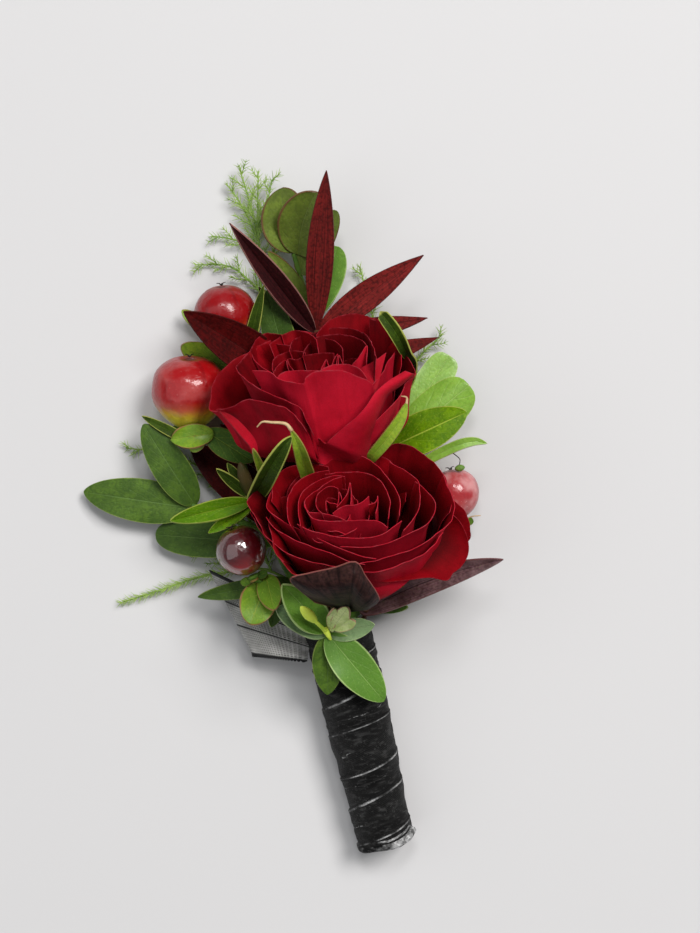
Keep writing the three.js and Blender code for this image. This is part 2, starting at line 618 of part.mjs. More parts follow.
function needledTwig(points, gap = 1.8) {
  const path = new THREE.CatmullRomCurve3(points.map(vector));
  const foot = 0.45;
  const tufts = Math.max(2, Math.round(path.getLength() / (gap + foot)));
  const places = [];
  for (let i = 0; i < tufts; i += 1) {
    const start = i / tufts;
    places.push(start, start + (1 - foot / (gap + foot)) / tufts);
  }
  places.push(1);
  const rings = places.map((place) => {
    const along = path.getTangentAt(place);
    const side = along.clone().cross(new THREE.Vector3(0, 0, 1)).normalize();
    const up = side.clone().cross(along).normalize();
    const point = path.getPointAt(place);
    const radius = fernRadius * (1 - 0.35 * place);
    const corners = [[1, -1], [1, 1], [-1, 1], [-1, -1]].map(([a, b]) => (
      point.clone().addScaledVector(side, a * radius * 0.8).addScaledVector(up, b * radius * 0.8)));
    return { along, side, up, point, corners };
  });
  const positions = rings.flatMap((ring) => ring.corners.flatMap((corner) => corner.toArray()));
  const index = [];
  const outward = (ring, k) => [ring.side, ring.up, ring.side.clone().negate(), ring.up.clone().negate()][k];
  for (let j = 0; j + 1 < rings.length; j += 1) {
    for (let k = 0; k < 4; k += 1) {
      const next = (k + 1) % 4;
      const loop = [j * 4 + k, j * 4 + next, j * 4 + 4 + next, j * 4 + 4 + k];
      const bears = j % 2 === 1 && k !== 3 && (k !== 1 || random() < 0.5);
      if (!bears) {
        index.push(loop[0], loop[2], loop[1], loop[0], loop[3], loop[2]);
        continue;
      }
      const length = needleLength * (0.6 + 0.45 * random()) * (1 - 0.4 * places[j]) * (k === 1 ? 0.5 : 1);
      const tip = rings[j].point.clone().lerp(rings[j + 1].point, 0.5)
        .addScaledVector(outward(rings[j], k), length * (0.55 + 0.3 * random()))
        .addScaledVector(rings[j].along, length * (0.35 + 0.45 * random()));
      tip.z = Math.max(0.2, tip.z + 0.25 * length * random());
      const apex = positions.length / 3;
      positions.push(...tip.toArray());
      loop.forEach((corner, i) => index.push(corner, apex, loop[(i + 1) % 4]));
    }
  }
  const last = (rings.length - 1) * 4;
  index.push(0, 1, 2, 0, 2, 3, last, last + 2, last + 1, last, last + 3, last + 2);
  const geometry = new THREE.BufferGeometry();
  geometry.setAttribute('position', new THREE.Float32BufferAttribute(positions, 3));
  geometry.setIndex(index);
  return solid(geometry);
}

function frond(stalk, branches) {
  return join([stalk, ...branches.map((points) => needledTwig(points))]);
}

function fernTop() {
  const stalk = stemFrom(pocketSlot(210), thinRadius,
    [[-4, 4, 3], [-8, 14, 1.6], [-10, 28, 1], [-10.5, 42, 1], [-13.5, 58, 1.2], [-14.2, 68, 1.8]], 5);
  return frond(stalk, [
    [[-13.9, 65, 1.6], [-14.3, 73, 2.2], [-14.2, 81, 3]],
    [[-14.2, 70, 2], [-15.8, 76, 2.4], [-17.6, 82, 3]],
    [[-14.2, 69, 2], [-17, 75, 1.8], [-19.8, 79, 2]],
    [[-14.2, 70, 2], [-12.8, 75, 2.4], [-11.8, 79.5, 2.8]],
    [[-14, 66, 1.6], [-17.5, 69, 1.4], [-22.4, 70, 1.2]],
    [[-13.6, 60, 1.3], [-19, 64.6, 1], [-25.4, 65, 1]],
    [[-13.4, 62, 1.3], [-11.6, 67, 2], [-11, 71, 2.4]],
  ]);
}

function fernLeft() {
  const stalk = stemFrom(pocketSlot(270), thinRadius,
    [[-2, 4, 1.4], [-7, 8.6, 0.7], [-13, 11.8, 0.9], [-19, 11.6, 1.6]], 5);
  return frond(stalk, [
    [[-18, 11.7, 1.5], [-25, 10.4, 1.4], [-32, 8, 1.1], [-38.4, 6, 1]],
    [[-17, 11.7, 1.4], [-21, 14, 1.2], [-25, 15, 0.9]],
    [[-12, 11.6, 0.9], [-18, 24, 0.8], [-28, 31.6, 0.8], [-37.4, 33, 0.8]],
  ]);
}

function fernRight() {
  const stalk = stemFrom(pocketSlot(330), thinRadius,
    [[3, 5, 2.6], [6, 14, 1], [7, 30, 0.8], [7, 42, 0.8]], 5);
  return frond(stalk, [
    [[7, 41, 0.8], [6, 54, 1], [3.4, 64.6, 1.6]],
    [[7, 40, 0.8], [12, 47, 1], [17.6, 52.6, 2]],
  ]);
}

const parts = {
  ribbon_wrap: { build: ribbonWrap, colour: 0x141416, roughness: 0.5 },
  ribbon_loop: { build: ribbonLoop, colour: 0x1b1b1f, roughness: 0.45 },
  floral_tape: { build: floralTape, colour: 0x2f3a24, roughness: 0.8 },
  rose_upper_petals: { build: upperBloom, colour: 0x7c0b1c, roughness: 0.75 },
  rose_upper_stem: { build: upperRoseStem, colour: 0x55702f, roughness: 0.6 },
  rose_lower_petals: { build: lowerBloom, colour: 0x7c0b1c, roughness: 0.75 },
  rose_lower_stem: { build: lowerRoseStem, colour: 0x55702f, roughness: 0.6 },
  hypericum_left: { build: hypericumLeft, colour: 0x3f6b35, roughness: 0.5 },
  hypericum_front: { build: hypericumFront, colour: 0x456f33, roughness: 0.5 },
  hypericum_right: { build: hypericumRight, colour: 0x6f9a3a, roughness: 0.45 },
  leucadendron_top: { build: leucadendronTop, colour: 0x4a1018, roughness: 0.55 },
  leucadendron_front: { build: leucadendronFront, colour: 0x37141a, roughness: 0.55 },
  leafy_top: { build: leafyTop, colour: 0x55722f, roughness: 0.55 },
  leafy_front: { build: leafyFront, colour: 0x4f8a38, roughness: 0.5 },
  fern_top: { build: fernTop, colour: 0x6fb03a, roughness: 0.6 },
  fern_left: { build: fernLeft, colour: 0x6fb03a, roughness: 0.6 },
  fern_right: { build: fernRight, colour: 0x6fb03a, roughness: 0.6 },
};

const boutonniere = new THREE.Group();

function addPiece(name, body, colour, roughness) {
  const material = new THREE.MeshStandardMaterial({ color: colour, roughness, metalness: 0 });
  const mesh = new THREE.Mesh(geometryOf(body), material);
  mesh.name = name;
  boutonniere.add(mesh);
}

for (const [name, { build, colour, roughness }] of Object.entries(parts)) {
  addPiece(name, build(), colour, roughness);
}
for (const [name, spec] of Object.entries(berries)) {
  addPiece(name, berry(spec), spec.colour, 0.2);
}

export default boutonniere;
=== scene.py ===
import math
import random

import bpy
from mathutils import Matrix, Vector, noise


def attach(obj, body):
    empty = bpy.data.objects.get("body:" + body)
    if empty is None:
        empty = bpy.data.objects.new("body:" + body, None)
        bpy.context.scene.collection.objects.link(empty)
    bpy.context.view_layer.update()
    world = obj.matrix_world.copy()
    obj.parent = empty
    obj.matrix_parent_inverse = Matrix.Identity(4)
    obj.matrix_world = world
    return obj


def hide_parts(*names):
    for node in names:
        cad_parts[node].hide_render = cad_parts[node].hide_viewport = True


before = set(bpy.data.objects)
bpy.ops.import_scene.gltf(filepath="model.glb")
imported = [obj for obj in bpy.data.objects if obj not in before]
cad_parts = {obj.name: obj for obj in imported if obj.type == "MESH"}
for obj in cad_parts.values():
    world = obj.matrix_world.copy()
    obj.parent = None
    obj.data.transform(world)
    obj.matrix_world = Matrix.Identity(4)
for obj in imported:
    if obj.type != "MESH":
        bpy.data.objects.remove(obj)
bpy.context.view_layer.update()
print("packed part loaded,", len(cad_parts), "nodes")

mm = 0.001                      # places and sizes below are in millimetres
quarter = math.pi / 2
softAngle = math.radians(50)
straightUp = Vector((0, 0, 1))

# Camera, straight above as the photo was taken, and a pale table under soft light
view = {"place": (1.717, 29.8, 300), "seenHeight": 163.3, "sensor": 24, "nearest": 10}
studio = {
    "table": (0.584, 0.576, 0.58),
    "tableSize": 3.0, "tableDrop": 0.05, "tableCloud": 90,
    "middle": (0, 25, 5),
    "sky": (0.93, 0.96, 1.0),
    "skyStrength": 0.14,
    "lamps": [
        {"place": (0.52, 0.5, 1.1), "size": 0.5, "power": 16.5, "tint": (1, 0.99, 0.97)},
        {"place": (-0.05, 0.68, 1.15), "size": 0.3, "power": 4.5, "tint": (1, 1, 1)},
        {"place": (-1.1, -0.1, 1.3), "size": 2.0, "power": 10.5, "tint": (0.97, 0.99, 1)},
    ],
}


def deselect():
    bpy.ops.object.select_all(action="DESELECT")


def addCamera():
    deselect()
    bpy.ops.object.camera_add(location=Vector(view["place"]) * mm)
    camera = bpy.context.object
    camera.name = "photoCamera"
    camera.data.sensor_fit = "VERTICAL"
    camera.data.sensor_height = view["sensor"]
    camera.data.lens = view["sensor"] * view["place"][2] / view["seenHeight"]
    camera.data.clip_start = view["nearest"] * mm
    bpy.context.scene.camera = camera


def addStudio():
    world = bpy.data.worlds.new("softSky")
    bpy.context.scene.world = world
    world.use_nodes = True
    sky = world.node_tree.nodes["Background"]
    sky.inputs["Color"].default_value = (*studio["sky"], 1)
    sky.inputs["Strength"].default_value = studio["skyStrength"]
    middle = Vector(studio["middle"]) * mm
    for number, lamp in enumerate(studio["lamps"]):
        place = Vector(lamp["place"])
        turn = (middle - place).to_track_quat("-Z", "Y").to_euler()
        bpy.ops.object.light_add(type="AREA", location=place, rotation=turn)
        light = bpy.context.object
        light.name = f"softLamp{number}"
        light.data.size = lamp["size"]
        light.data.energy = lamp["power"]
        light.data.color = lamp["tint"]
    bpy.context.scene.view_settings.view_transform = "Standard"


# Finishes: a shader socket that takes part in sums, and the nodes behind it
class Channel:
    def __init__(self, finish, socket):
        self.finish = finish
        self.socket = socket

    def maths(self, operation, *others):
        return self.finish.node("Math", {"operation": operation}, dict(enumerate([self, *others])))

    def __add__(self, other):
        return self.maths("ADD", other)

    __radd__ = __add__

    def __sub__(self, other):
        return self.maths("SUBTRACT", other)

    def __rsub__(self, other):
        return self.finish.node("Math", {"operation": "SUBTRACT"}, {0: other, 1: self})

    def __mul__(self, other):
        return self.maths("MULTIPLY", other)

    __rmul__ = __mul__

    def __pow__(self, other):
        return self.maths("POWER", other)

    def __abs__(self):
        return self.maths("ABSOLUTE")

    def sine(self):
        return self.maths("SINE")

    def larger(self, other):
        return self.maths("MAXIMUM", other)

    def rise(self, low, high):
        ends = {"Value": self, "From Min": low, "From Max": high}
        return self.finish.node("MapRange", {"interpolation_type": "SMOOTHSTEP"}, ends)

    def band(self, centre, core, reach):
        return 1 - abs(self - centre).rise(core, reach)


class Finish:
    def __init__(self, name, **constants):
        self.material = bpy.data.materials.new(name)
        self.material.use_nodes = True
        self.nodes = self.material.node_tree.nodes
        self.links = self.material.node_tree.links
        self.shader = self.nodes["Principled BSDF"]
        for socket, value in constants.items():
            self.feed(self.shader.inputs[socket.replace("_", " ")], value)

    def feed(self, socket, value):
        if isinstance(value, Channel):
            self.links.new(value.socket, socket)
        elif isinstance(value, tuple) and len(value) == 3 and socket.type == "RGBA":
            socket.default_value = (*value, 1)
        else:
            socket.default_value = value

    def node(self, kind, settings=None, inputs=None, output=0):
        node = self.nodes.new("ShaderNode" + kind)
        for key, value in (settings or {}).items():
            if key == "stops":
                first, last = node.color_ramp.elements
                first.position, first.color = value[0][0], (*value[0][1], 1)
                last.position, last.color = value[-1][0], (*value[-1][1], 1)
                for place, colour in value[1:-1]:
                    node.color_ramp.elements.new(place).color = (*colour, 1)
            else:
                setattr(node, key, value)
        for key, value in (inputs or {}).items():
            self.feed(node.inputs[key], value)
        return Channel(self, node.outputs[output])

    def mix(self, share, first, second):
        return self.node("Mix", {"data_type": "RGBA"}, {0: share, 6: first, 7: second}, 2)

    def blade(self):
        uv = self.node("TexCoord", output="UV")
        return (self.node("SeparateXYZ", inputs={0: uv}, output=axis) for axis in ("X", "Y"))

    def place(self):
        return self.node("TexCoord", output="Object")

    def attribute(self, name):
        return self.node("Attribute", {"attribute_name": name}, output="Fac")

    def grain(self, size, detail=3.0):
        inputs = {"Vector": self.place(), "Scale": 1 / (size * mm), "Detail": detail}
        return self.node("TexNoise", inputs=inputs)

    def streaks(self, across, along, depth, detail=4.0):
        vector = self.node("CombineXYZ", inputs={0: across, 1: along, 2: depth})
        return self.node("TexNoise", inputs={"Vector": vector, "Scale": 1.0, "Detail": detail})

    # Streaks from foot to tip, shifted by the tone of each petal, leaf or berry
    def lengthwise(self, columns, rows, detail=4.0):
        u, v = self.blade()
        drift = self.attribute("tone") * 7
        return self.streaks(u * columns + drift, v * rows, drift, detail)

    def finishWith(self, colour, roughness, height=None, depth=0.1, strength=0.6, **varying):
        self.feed(self.shader.inputs["Base Color"], colour)
        self.feed(self.shader.inputs["Roughness"], roughness)
        if height is not None:
            bump = {"Strength": strength, "Distance": depth * mm, "Height": height}
            self.feed(self.shader.inputs["Normal"], self.node("Bump", inputs=bump))
        for socket, value in varying.items():
            self.feed(self.shader.inputs[socket], value)
        return self.material


petalLooks = {
    "petalOuterFace": {
        "foot": (0.3, 0.012, 0.02), "body": (0.44, 0.005, 0.018), "high": (0.46, 0.008, 0.024),
        "shade": (0.18, 0.0015, 0.006), "rim": (0.34, 0.035, 0.05),
    },
    # The inner face is a shaded copy of the petal colour: its own deep red darkened further with painted
    # shade from the cup.
    "petalInnerFace": {
        "foot": (0.006, 0.0003, 0.0006), "body": (0.09, 0.0006, 0.002), "high": (0.22, 0.0014, 0.005),
        "shade": (0.035, 0.0004, 0.0012), "rim": (0.24, 0.02, 0.03),
    },
}
petalGrain = {"veins": (30, 2.2), "patches": 4.5, "velvet": 0.16, "nicks": 0.9, "relief": 0.16}


def petalFinish(name, look):
    finish = Finish(name, Sheen_Weight=0.02, Sheen_Roughness=0.4, Sheen_Tint=(0.9, 0.12, 0.18),
                    Specular_IOR_Level=0.05, Subsurface_Weight=0.06, Subsurface_Scale=0.001,
                    Subsurface_Radius=(1.0, 0.1, 0.12))
    u, v = finish.blade()
    tone = finish.attribute("tone")
    veins = finish.lengthwise(*petalGrain["veins"])
    patches = finish.grain(petalGrain["patches"])
    velvet = finish.grain(petalGrain["velvet"], 2)
    nicks = finish.grain(petalGrain["nicks"], 2)
    # Darker towards the foot and lighter near the rim: painted shade deep in the cup and painted light where
    # the petal opens out.
    stops = [(0, look["foot"]), (0.45, look["body"]), (0.86, look["high"]), (0.95, look["high"])]
    along = finish.node("ValToRGB", {"stops": stops}, {0: v + 0.12 * (patches - 0.5)}, "Color")
    dark = patches.rise(0.42, 0.75) * 0.4 + 0.55 * tone.rise(0, 1) + 0.18 * veins.rise(0.45, 0.8)
    colour = finish.mix(dark, along, look["shade"])
    colour = finish.mix(velvet.rise(0.45, 0.75) * 0.22, colour, look["shade"])
    fromSide = 1 - abs(2 * u - 1)
    edge = (v + 0.006 * veins).rise(0.99, 0.999).larger(1 - fromSide.rise(0.002, 0.008))
    colour = finish.mix(edge * (0.1 + 0.7 * nicks.rise(0.4, 0.65)), colour, look["rim"])
    rough = 0.55 + 0.16 * velvet + 0.1 * patches
    height = 0.4 * veins + 0.45 * velvet + 0.4 * patches
    return finish.finishWith(colour, rough, height, depth=petalGrain["relief"], strength=0.5)


commonLeaf = {
    "edge": 0.04, "ribWidth": 0.03, "ribShare": 0.45, "veins": 0.0, "count": 3, "stripes": 0.2,
    "mottle": 0.7, "heart": 0.0, "coat": 0.05, "rough": 0.5, "shine": 0.24,
}
leafGrain = {"mottle": 2.6, "speck": 0.3, "pebbles": 0.42, "lines": (44, 1.8), "relief": 0.14}
leafLooks = {
    "ovalLeaf": {
        "blade": (0.1, 0.185, 0.016), "deep": (0.026, 0.06, 0.007), "rib": (0.13, 0.22, 0.06),
        "margin": (0.22, 0.28, 0.06), "edge": 0.03, "veins": 0.1, "count": 9, "rough": 0.48,
        "shine": 0.18,
    },
    "paleLeaf": {
        "blade": (0.25, 0.44, 0.055), "deep": (0.15, 0.3, 0.025), "rib": (0.34, 0.5, 0.13),
        "margin": (0.36, 0.46, 0.12), "veins": 0.1, "count": 7, "coat": 0.6, "rough": 0.3,
    },
    "limeLeaf": {
        "blade": (0.2, 0.36, 0.002), "deep": (0.055, 0.14, 0.001), "rib": (0.42, 0.54, 0.06),
        "margin": (0.34, 0.4, 0.06), "ribWidth": 0.035, "veins": 0.12, "count": 8, "coat": 0.1,
        "rough": 0.38, "ribShare": 0.7, "shine": 0.14,
    },
    "oliveLeaf": {
        "blade": (0.135, 0.19, 0.02), "deep": (0.07, 0.1, 0.012), "rib": (0.17, 0.22, 0.06),
        "margin": (0.12, 0.035, 0.02), "edge": 0.07, "ribWidth": 0.02, "veins": 0.06, "count": 6,
        "coat": 0.1,
    },
    "freshLeaf": {
        "blade": (0.135, 0.28, 0.028), "deep": (0.075, 0.18, 0.018), "rib": (0.3, 0.45, 0.13),
        "margin": (0.36, 0.48, 0.17), "edge": 0.06, "veins": 0.1, "count": 7, "coat": 0.1, "rough": 0.48,
    },
    "wineLeaf": {
        "blade": (0.08, 0.003, 0.003), "deep": (0.012, 0.0008, 0.0008), "rib": (0.09, 0.015, 0.014),
        "margin": (0.06, 0.008, 0.008), "edge": 0.03, "ribWidth": 0.02, "coat": 0.02, "rough": 0.48,
        "stripes": 0.6, "shine": 0.05, "mottle": 0.5,
    },
    "burgundyLeaf": {
        "blade": (0.24, 0.017, 0.015), "deep": (0.018, 0.0014, 0.0014), "rib": (0.14, 0.02, 0.018),
        "margin": (0.07, 0.012, 0.012), "edge": 0.03, "ribWidth": 0.025, "coat": 0.03, "stripes": 0.9,
        "shine": 0.13, "mottle": 0.3,
    },
    "foldedRedLeaf": {
        "blade": (0.05, 0.006, 0.007), "deep": (0.01, 0.0015, 0.002), "rib": (0.01, 0.004, 0.004),
        "margin": (0.3, 0.14, 0.12), "ribWidth": 0.05, "coat": 0.03, "stripes": 0.9, "shine": 0.08,
        "mottle": 0.4,
    },
    "brownLeaf": {
        "blade": (0.075, 0.03, 0.026), "deep": (0.004, 0.001, 0.001), "rib": (0.01, 0.004, 0.004),
        "margin": (0.26, 0.08, 0.07), "edge": 0.02, "ribWidth": 0.02, "count": 5, "coat": 0.02,
        "rough": 0.55, "stripes": 0.95, "shine": 0.08, "heart": 1.0,
    },
    "purpleLeaf": {
        # The blade's own dark purple is lightened with painted greyish-pink sheen.
        "blade": (0.2, 0.11, 0.115), "deep": (0.03, 0.007, 0.009), "rib": (0.02, 0.006, 0.007),
        "margin": (0.12, 0.03, 0.03), "coat": 0.35, "rough": 0.36, "stripes": 0.75,
    },
    "sepalLeaf": {
        "blade": (0.32, 0.44, 0.025), "deep": (0.13, 0.24, 0.014), "rib": (0.42, 0.5, 0.08),
        "margin": (0.3, 0.22, 0.06), "ribWidth": 0.05, "veins": 0.05, "count": 4, "coat": 0.1,
        "stripes": 0.4,
    },
    "darkSepal": {
        "blade": (0.045, 0.085, 0.004), "deep": (0.014, 0.028, 0.002), "rib": (0.1, 0.16, 0.02),
        "margin": (0.4, 0.42, 0.09), "edge": 0.1, "ribWidth": 0.04, "count": 4, "coat": 0.02,
        "rough": 0.56, "stripes": 0.5, "shine": 0.08,
    },
    "mottledSepal": {
        "blade": (0.12, 0.21, 0.015), "deep": (0.035, 0.09, 0.01), "rib": (0.24, 0.34, 0.05),
        "margin": (0.2, 0.1, 0.03), "veins": 0.25, "count": 6, "coat": 0.04, "shine": 0.1,
    },
    "sageLeaf": {
        "blade": (0.21, 0.31, 0.14), "deep": (0.12, 0.2, 0.08), "rib": (0.3, 0.42, 0.2),
        "margin": (0.34, 0.44, 0.2), "edge": 0.05, "veins": 0.08, "count": 6,
    },
    "paleBract": {
        "blade": (0.8, 0.88, 0.42), "deep": (0.45, 0.6, 0.16), "rib": (0.7, 0.76, 0.4),
        "margin": (0.5, 0.24, 0.18), "edge": 0.1, "ribWidth": 0.05,
    },
    "brightBract": {
        "blade": (0.28, 0.42, 0.02), "deep": (0.1, 0.22, 0.012), "rib": (0.42, 0.5, 0.06),
        "margin": (0.3, 0.13, 0.06), "edge": 0.06, "veins": 0.2, "count": 6, "coat": 0.25, "rough": 0.4,
    },
}


def leafFinish(name, look):
    look = commonLeaf | look
    finish = Finish(name, Coat_Weight=look["coat"], Coat_Roughness=0.28, Specular_IOR_Level=look["shine"],
                    Subsurface_Weight=0.05, Subsurface_Scale=0.0008, Subsurface_Radius=(0.3, 1.0, 0.1))
    u, v = finish.blade()
    tone = finish.attribute("tone")
    fromRib = abs(2 * u - 1)
    mottle = finish.grain(leafGrain["mottle"], 4)
    speck = finish.grain(leafGrain["speck"])
    cells = {"Vector": finish.place(), "Scale": 1 / (leafGrain["pebbles"] * mm)}
    pebbles = finish.node("TexVoronoi", {"feature": "SMOOTH_F1"}, cells)
    lines = finish.lengthwise(*leafGrain["lines"], 3.0)
    rib = 1 - fromRib.rise(look["ribWidth"] * 0.4, look["ribWidth"] * 1.6)
    wave = (math.pi * look["count"] * (v - 0.3 * fromRib) + 1.2 * mottle).sine()
    vein = (1 - abs(wave)) ** 7 * (1 - fromRib.rise(0.7, 0.95))
    edge = (fromRib + 0.05 * (speck - 0.5)).rise(1 - look["edge"] * 1.4, 1 - look["edge"] * 0.35)
    colour = finish.mix(mottle.rise(0.3, 0.7) * look["mottle"], look["blade"], look["deep"])
    colour = finish.mix(tone.rise(0.1, 0.95) * 0.75, colour, look["deep"])
    colour = finish.mix(lines.rise(0.42, 0.72) * look["stripes"], colour, look["deep"])
    colour = finish.mix(pebbles.rise(0.35, 0.7) * 0.55, colour, look["deep"])
    if look["heart"]:
        heart = 1 - (v + 0.35 * (lines - 0.5)).rise(0.12, 0.5)
        colour = finish.mix(heart * look["heart"], colour, look["deep"])
    colour = finish.mix(speck.rise(0.58, 0.75) * 0.35, colour, look["rib"])
    colour = finish.mix(vein * look["veins"], colour, look["rib"])
    colour = finish.mix(rib * look["ribShare"], colour, look["rib"])
    colour = finish.mix(edge.larger(v.rise(0.97, 0.99)) * 0.8, colour, look["margin"])
    rough = look["rough"] + 0.16 * mottle + 0.08 * speck
    height = 0.3 * mottle + 0.2 * speck - 0.5 * pebbles + 0.4 * lines - 0.9 * rib - 0.4 * vein
    return finish.finishWith(colour, rough, height, depth=leafGrain["relief"], strength=0.7)


stemLooks = {
    "greenStem": {"body": (0.11, 0.22, 0.03), "patch": (0.05, 0.12, 0.02), "scar": (0.1, 0.06, 0.025)},
    "redStem": {"body": (0.12, 0.05, 0.025), "patch": (0.06, 0.012, 0.012), "scar": (0.04, 0.02, 0.01)},
    "fernStalk": {"body": (0.2, 0.33, 0.06), "patch": (0.12, 0.22, 0.04), "scar": (0.25, 0.3, 0.1)},
    "brownBud": {"body": (0.06, 0.042, 0.012), "patch": (0.035, 0.04, 0.008), "scar": (0.1, 0.06, 0.03)},
    "limeBud": {"body": (0.72, 0.86, 0.1), "patch": (0.5, 0.7, 0.06), "scar": (0.7, 0.8, 0.22)},
    "dryTip": {"body": (0.56, 0.4, 0.22), "patch": (0.3, 0.17, 0.08), "scar": (0.4, 0.32, 0.18)},
    "blackStyle": {"body": (0.012, 0.008, 0.007), "patch": (0.03, 0.015, 0.012), "scar": (0.05, 0.03, 0.02)},
    "fernNeedle": {"body": (0.36, 0.5, 0.13), "patch": (0.22, 0.35, 0.08), "scar": (0.48, 0.58, 0.22)},
}
stemGrain = {"patches": 2.2, "speck": 0.3, "relief": 0.12}


def stemFinish(name, look):
    finish = Finish(name, Coat_Weight=0.04, Coat_Roughness=0.3, Specular_IOR_Level=0.15)
    patches = finish.grain(stemGrain["patches"], 4)
    speck = finish.grain(stemGrain["speck"])
    colour = finish.mix(patches.rise(0.4, 0.7), look["body"], look["patch"])
    colour = finish.mix(speck.rise(0.6, 0.72) * 0.6, colour, look["scar"])
    return finish.finishWith(colour, 0.46 + 0.2 * patches, patches + 0.4 * speck, stemGrain["relief"])


commonBerry = {"bloomShare": 0.1, "gloss": 1.5, "dent": 0.5}
berryGrain = {"clouds": 3.6, "streaks": (18, 2.5), "speck": 0.4, "dents": 1.3, "relief": 0.34}
berryLooks = {
    "berrySkinUpper": {
        "body": (0.24, 0.002, 0.004), "low": (0.42, 0.05, 0.012), "foot": (0.6, 0.36, 0.04),
        "bloom": (0.26, 0.05, 0.06), "dark": (0.06, 0.001, 0.003), "footEnd": 0.16, "coat": 0.3,
    },
    "berrySkinLeft": {
        # The yellow-green foot is its own colour, lightened further with painted light from below.
        "body": (0.3, 0.003, 0.005), "low": (0.55, 0.14, 0.015), "foot": (0.72, 0.62, 0.04),
        "bloom": (0.5, 0.13, 0.12), "dark": (0.1, 0.001, 0.003), "footEnd": 0.36, "bloomShare": 0.3,
        "coat": 0.4,
    },
    "berrySkinDark": {
        "body": (0.06, 0.002, 0.004), "low": (0.24, 0.01, 0.014), "foot": (0.4, 0.11, 0.08),
        "bloom": (0.14, 0.04, 0.05), "dark": (0.01, 0.001, 0.002), "footEnd": 0.1, "coat": 1.0,
        "gloss": 1.9, "dent": 0.9,
    },
    "berrySkinRight": {
        "body": (0.36, 0.03, 0.036), "low": (0.42, 0.07, 0.07), "foot": (0.4, 0.2, 0.1),
        "bloom": (0.62, 0.32, 0.32), "dark": (0.2, 0.014, 0.02), "footEnd": 0.12, "bloomShare": 0.7,
        "coat": 0.4,
    },
}


def berryFinish(name, look):
    look = commonBerry | look
    finish = Finish(name, Coat_Weight=look["coat"], Coat_Roughness=0.07, Coat_IOR=look["gloss"],
                    Specular_IOR_Level=0.3, Subsurface_Weight=0.08, Subsurface_Scale=0.0015,
                    Subsurface_Radius=(1.0, 0.15, 0.1))
    _, level = finish.blade()
    clouds = finish.grain(berryGrain["clouds"])
    streaks = finish.lengthwise(*berryGrain["streaks"])
    speck = finish.grain(berryGrain["speck"], 2)
    dents = finish.grain(berryGrain["dents"], 2)
    height = level + 0.08 * (clouds - 0.5) + 0.05 * (streaks - 0.5)
    colour = finish.mix(height.rise(0.3, 0.52), look["low"], look["body"])
    colour = finish.mix(height.rise(look["footEnd"] - 0.09, look["footEnd"] + 0.09), look["foot"], colour)
    colour = finish.mix(streaks.rise(0.52, 0.78) * 0.5, colour, look["dark"])
    # Pale pinkish bloom on the upper skin: the berry's own bloom with painted sheen in it.
    bloom = clouds.rise(0.42, 0.7) * look["bloomShare"] * level.rise(0.1, 0.4)
    colour = finish.mix(bloom, colour, look["bloom"])
    colour = finish.mix(speck.rise(0.68, 0.74) * 0.5, colour, look["bloom"])
    colour = finish.mix(level.rise(0.93, 0.98), colour, look["dark"])
    rough = 0.26 + 0.3 * bloom + 0.1 * speck
    skin = clouds + dents + 0.1 * speck
    return finish.finishWith(colour, rough, skin, berryGrain["relief"], look["dent"])


ribbonLook = {
    "black": (0.002, 0.002, 0.0021), "grey": (0.075, 0.074, 0.073), "glintWhite": (0.66, 0.66, 0.66),
    "netSheen": (0.5, 0.49, 0.47), "weft": 30, "warp": 620, "breaks": 3.4, "flecks": 0.35, "relief": 0.26,
    "threads": 30, "rows": 60, "stripes": (0.36, 0.64), "sheen": 2.4, "netRelief": 0.05,
}


def ribbonFinish():
    finish = Finish("blackRibbon", Specular_IOR_Level=0.12)
    lap = finish.attribute("lap")
    along = finish.attribute("along")
    streaks = finish.streaks(lap * 9, along * 40, 0.0)
    folds = finish.streaks(lap * 5, along * 9, 4.0, 3.0)
    breaks = finish.grain(ribbonLook["breaks"])
    flecks = finish.grain(ribbonLook["flecks"], 2)
    weft = abs((lap * math.pi * ribbonLook["weft"]).sine())
    warp = abs((along * math.pi * ribbonLook["warp"]).sine())
    weave = weft * warp
    colour = finish.mix(streaks.rise(0.48, 0.72) * 0.6, ribbonLook["black"], ribbonLook["grey"])
    colour = finish.mix(weave * 0.25, colour, ribbonLook["grey"])
    # Painted glints: pale lines along the lapped edges and down the middle of the strip, broken by noise.
    edgeGlint = lap.band(0.03, 0.008, 0.03) * breaks.rise(0.36, 0.62) * (0.5 + 0.5 * flecks.rise(0.4, 0.6))
    middleGlint = (lap - 0.5 - 0.2 * (streaks - 0.5)).band(0, 0.003, 0.012)
    glint = edgeGlint.larger(middleGlint * breaks.rise(0.5, 0.62) * flecks.rise(0.45, 0.6) * 0.7)
    colour = finish.mix(flecks.rise(0.6, 0.7) * 0.6, colour, ribbonLook["grey"])
    colour = finish.mix(glint, colour, ribbonLook["glintWhite"])
    colour = finish.mix(folds.rise(0.55, 0.72) * 0.15, colour, ribbonLook["grey"])
    height = 0.4 * weave + 1.2 * streaks + 0.6 * glint + 0.5 * flecks + 2.2 * folds
    return finish.finishWith(colour, 0.36 + 0.25 * streaks, height, ribbonLook["relief"], 0.9)


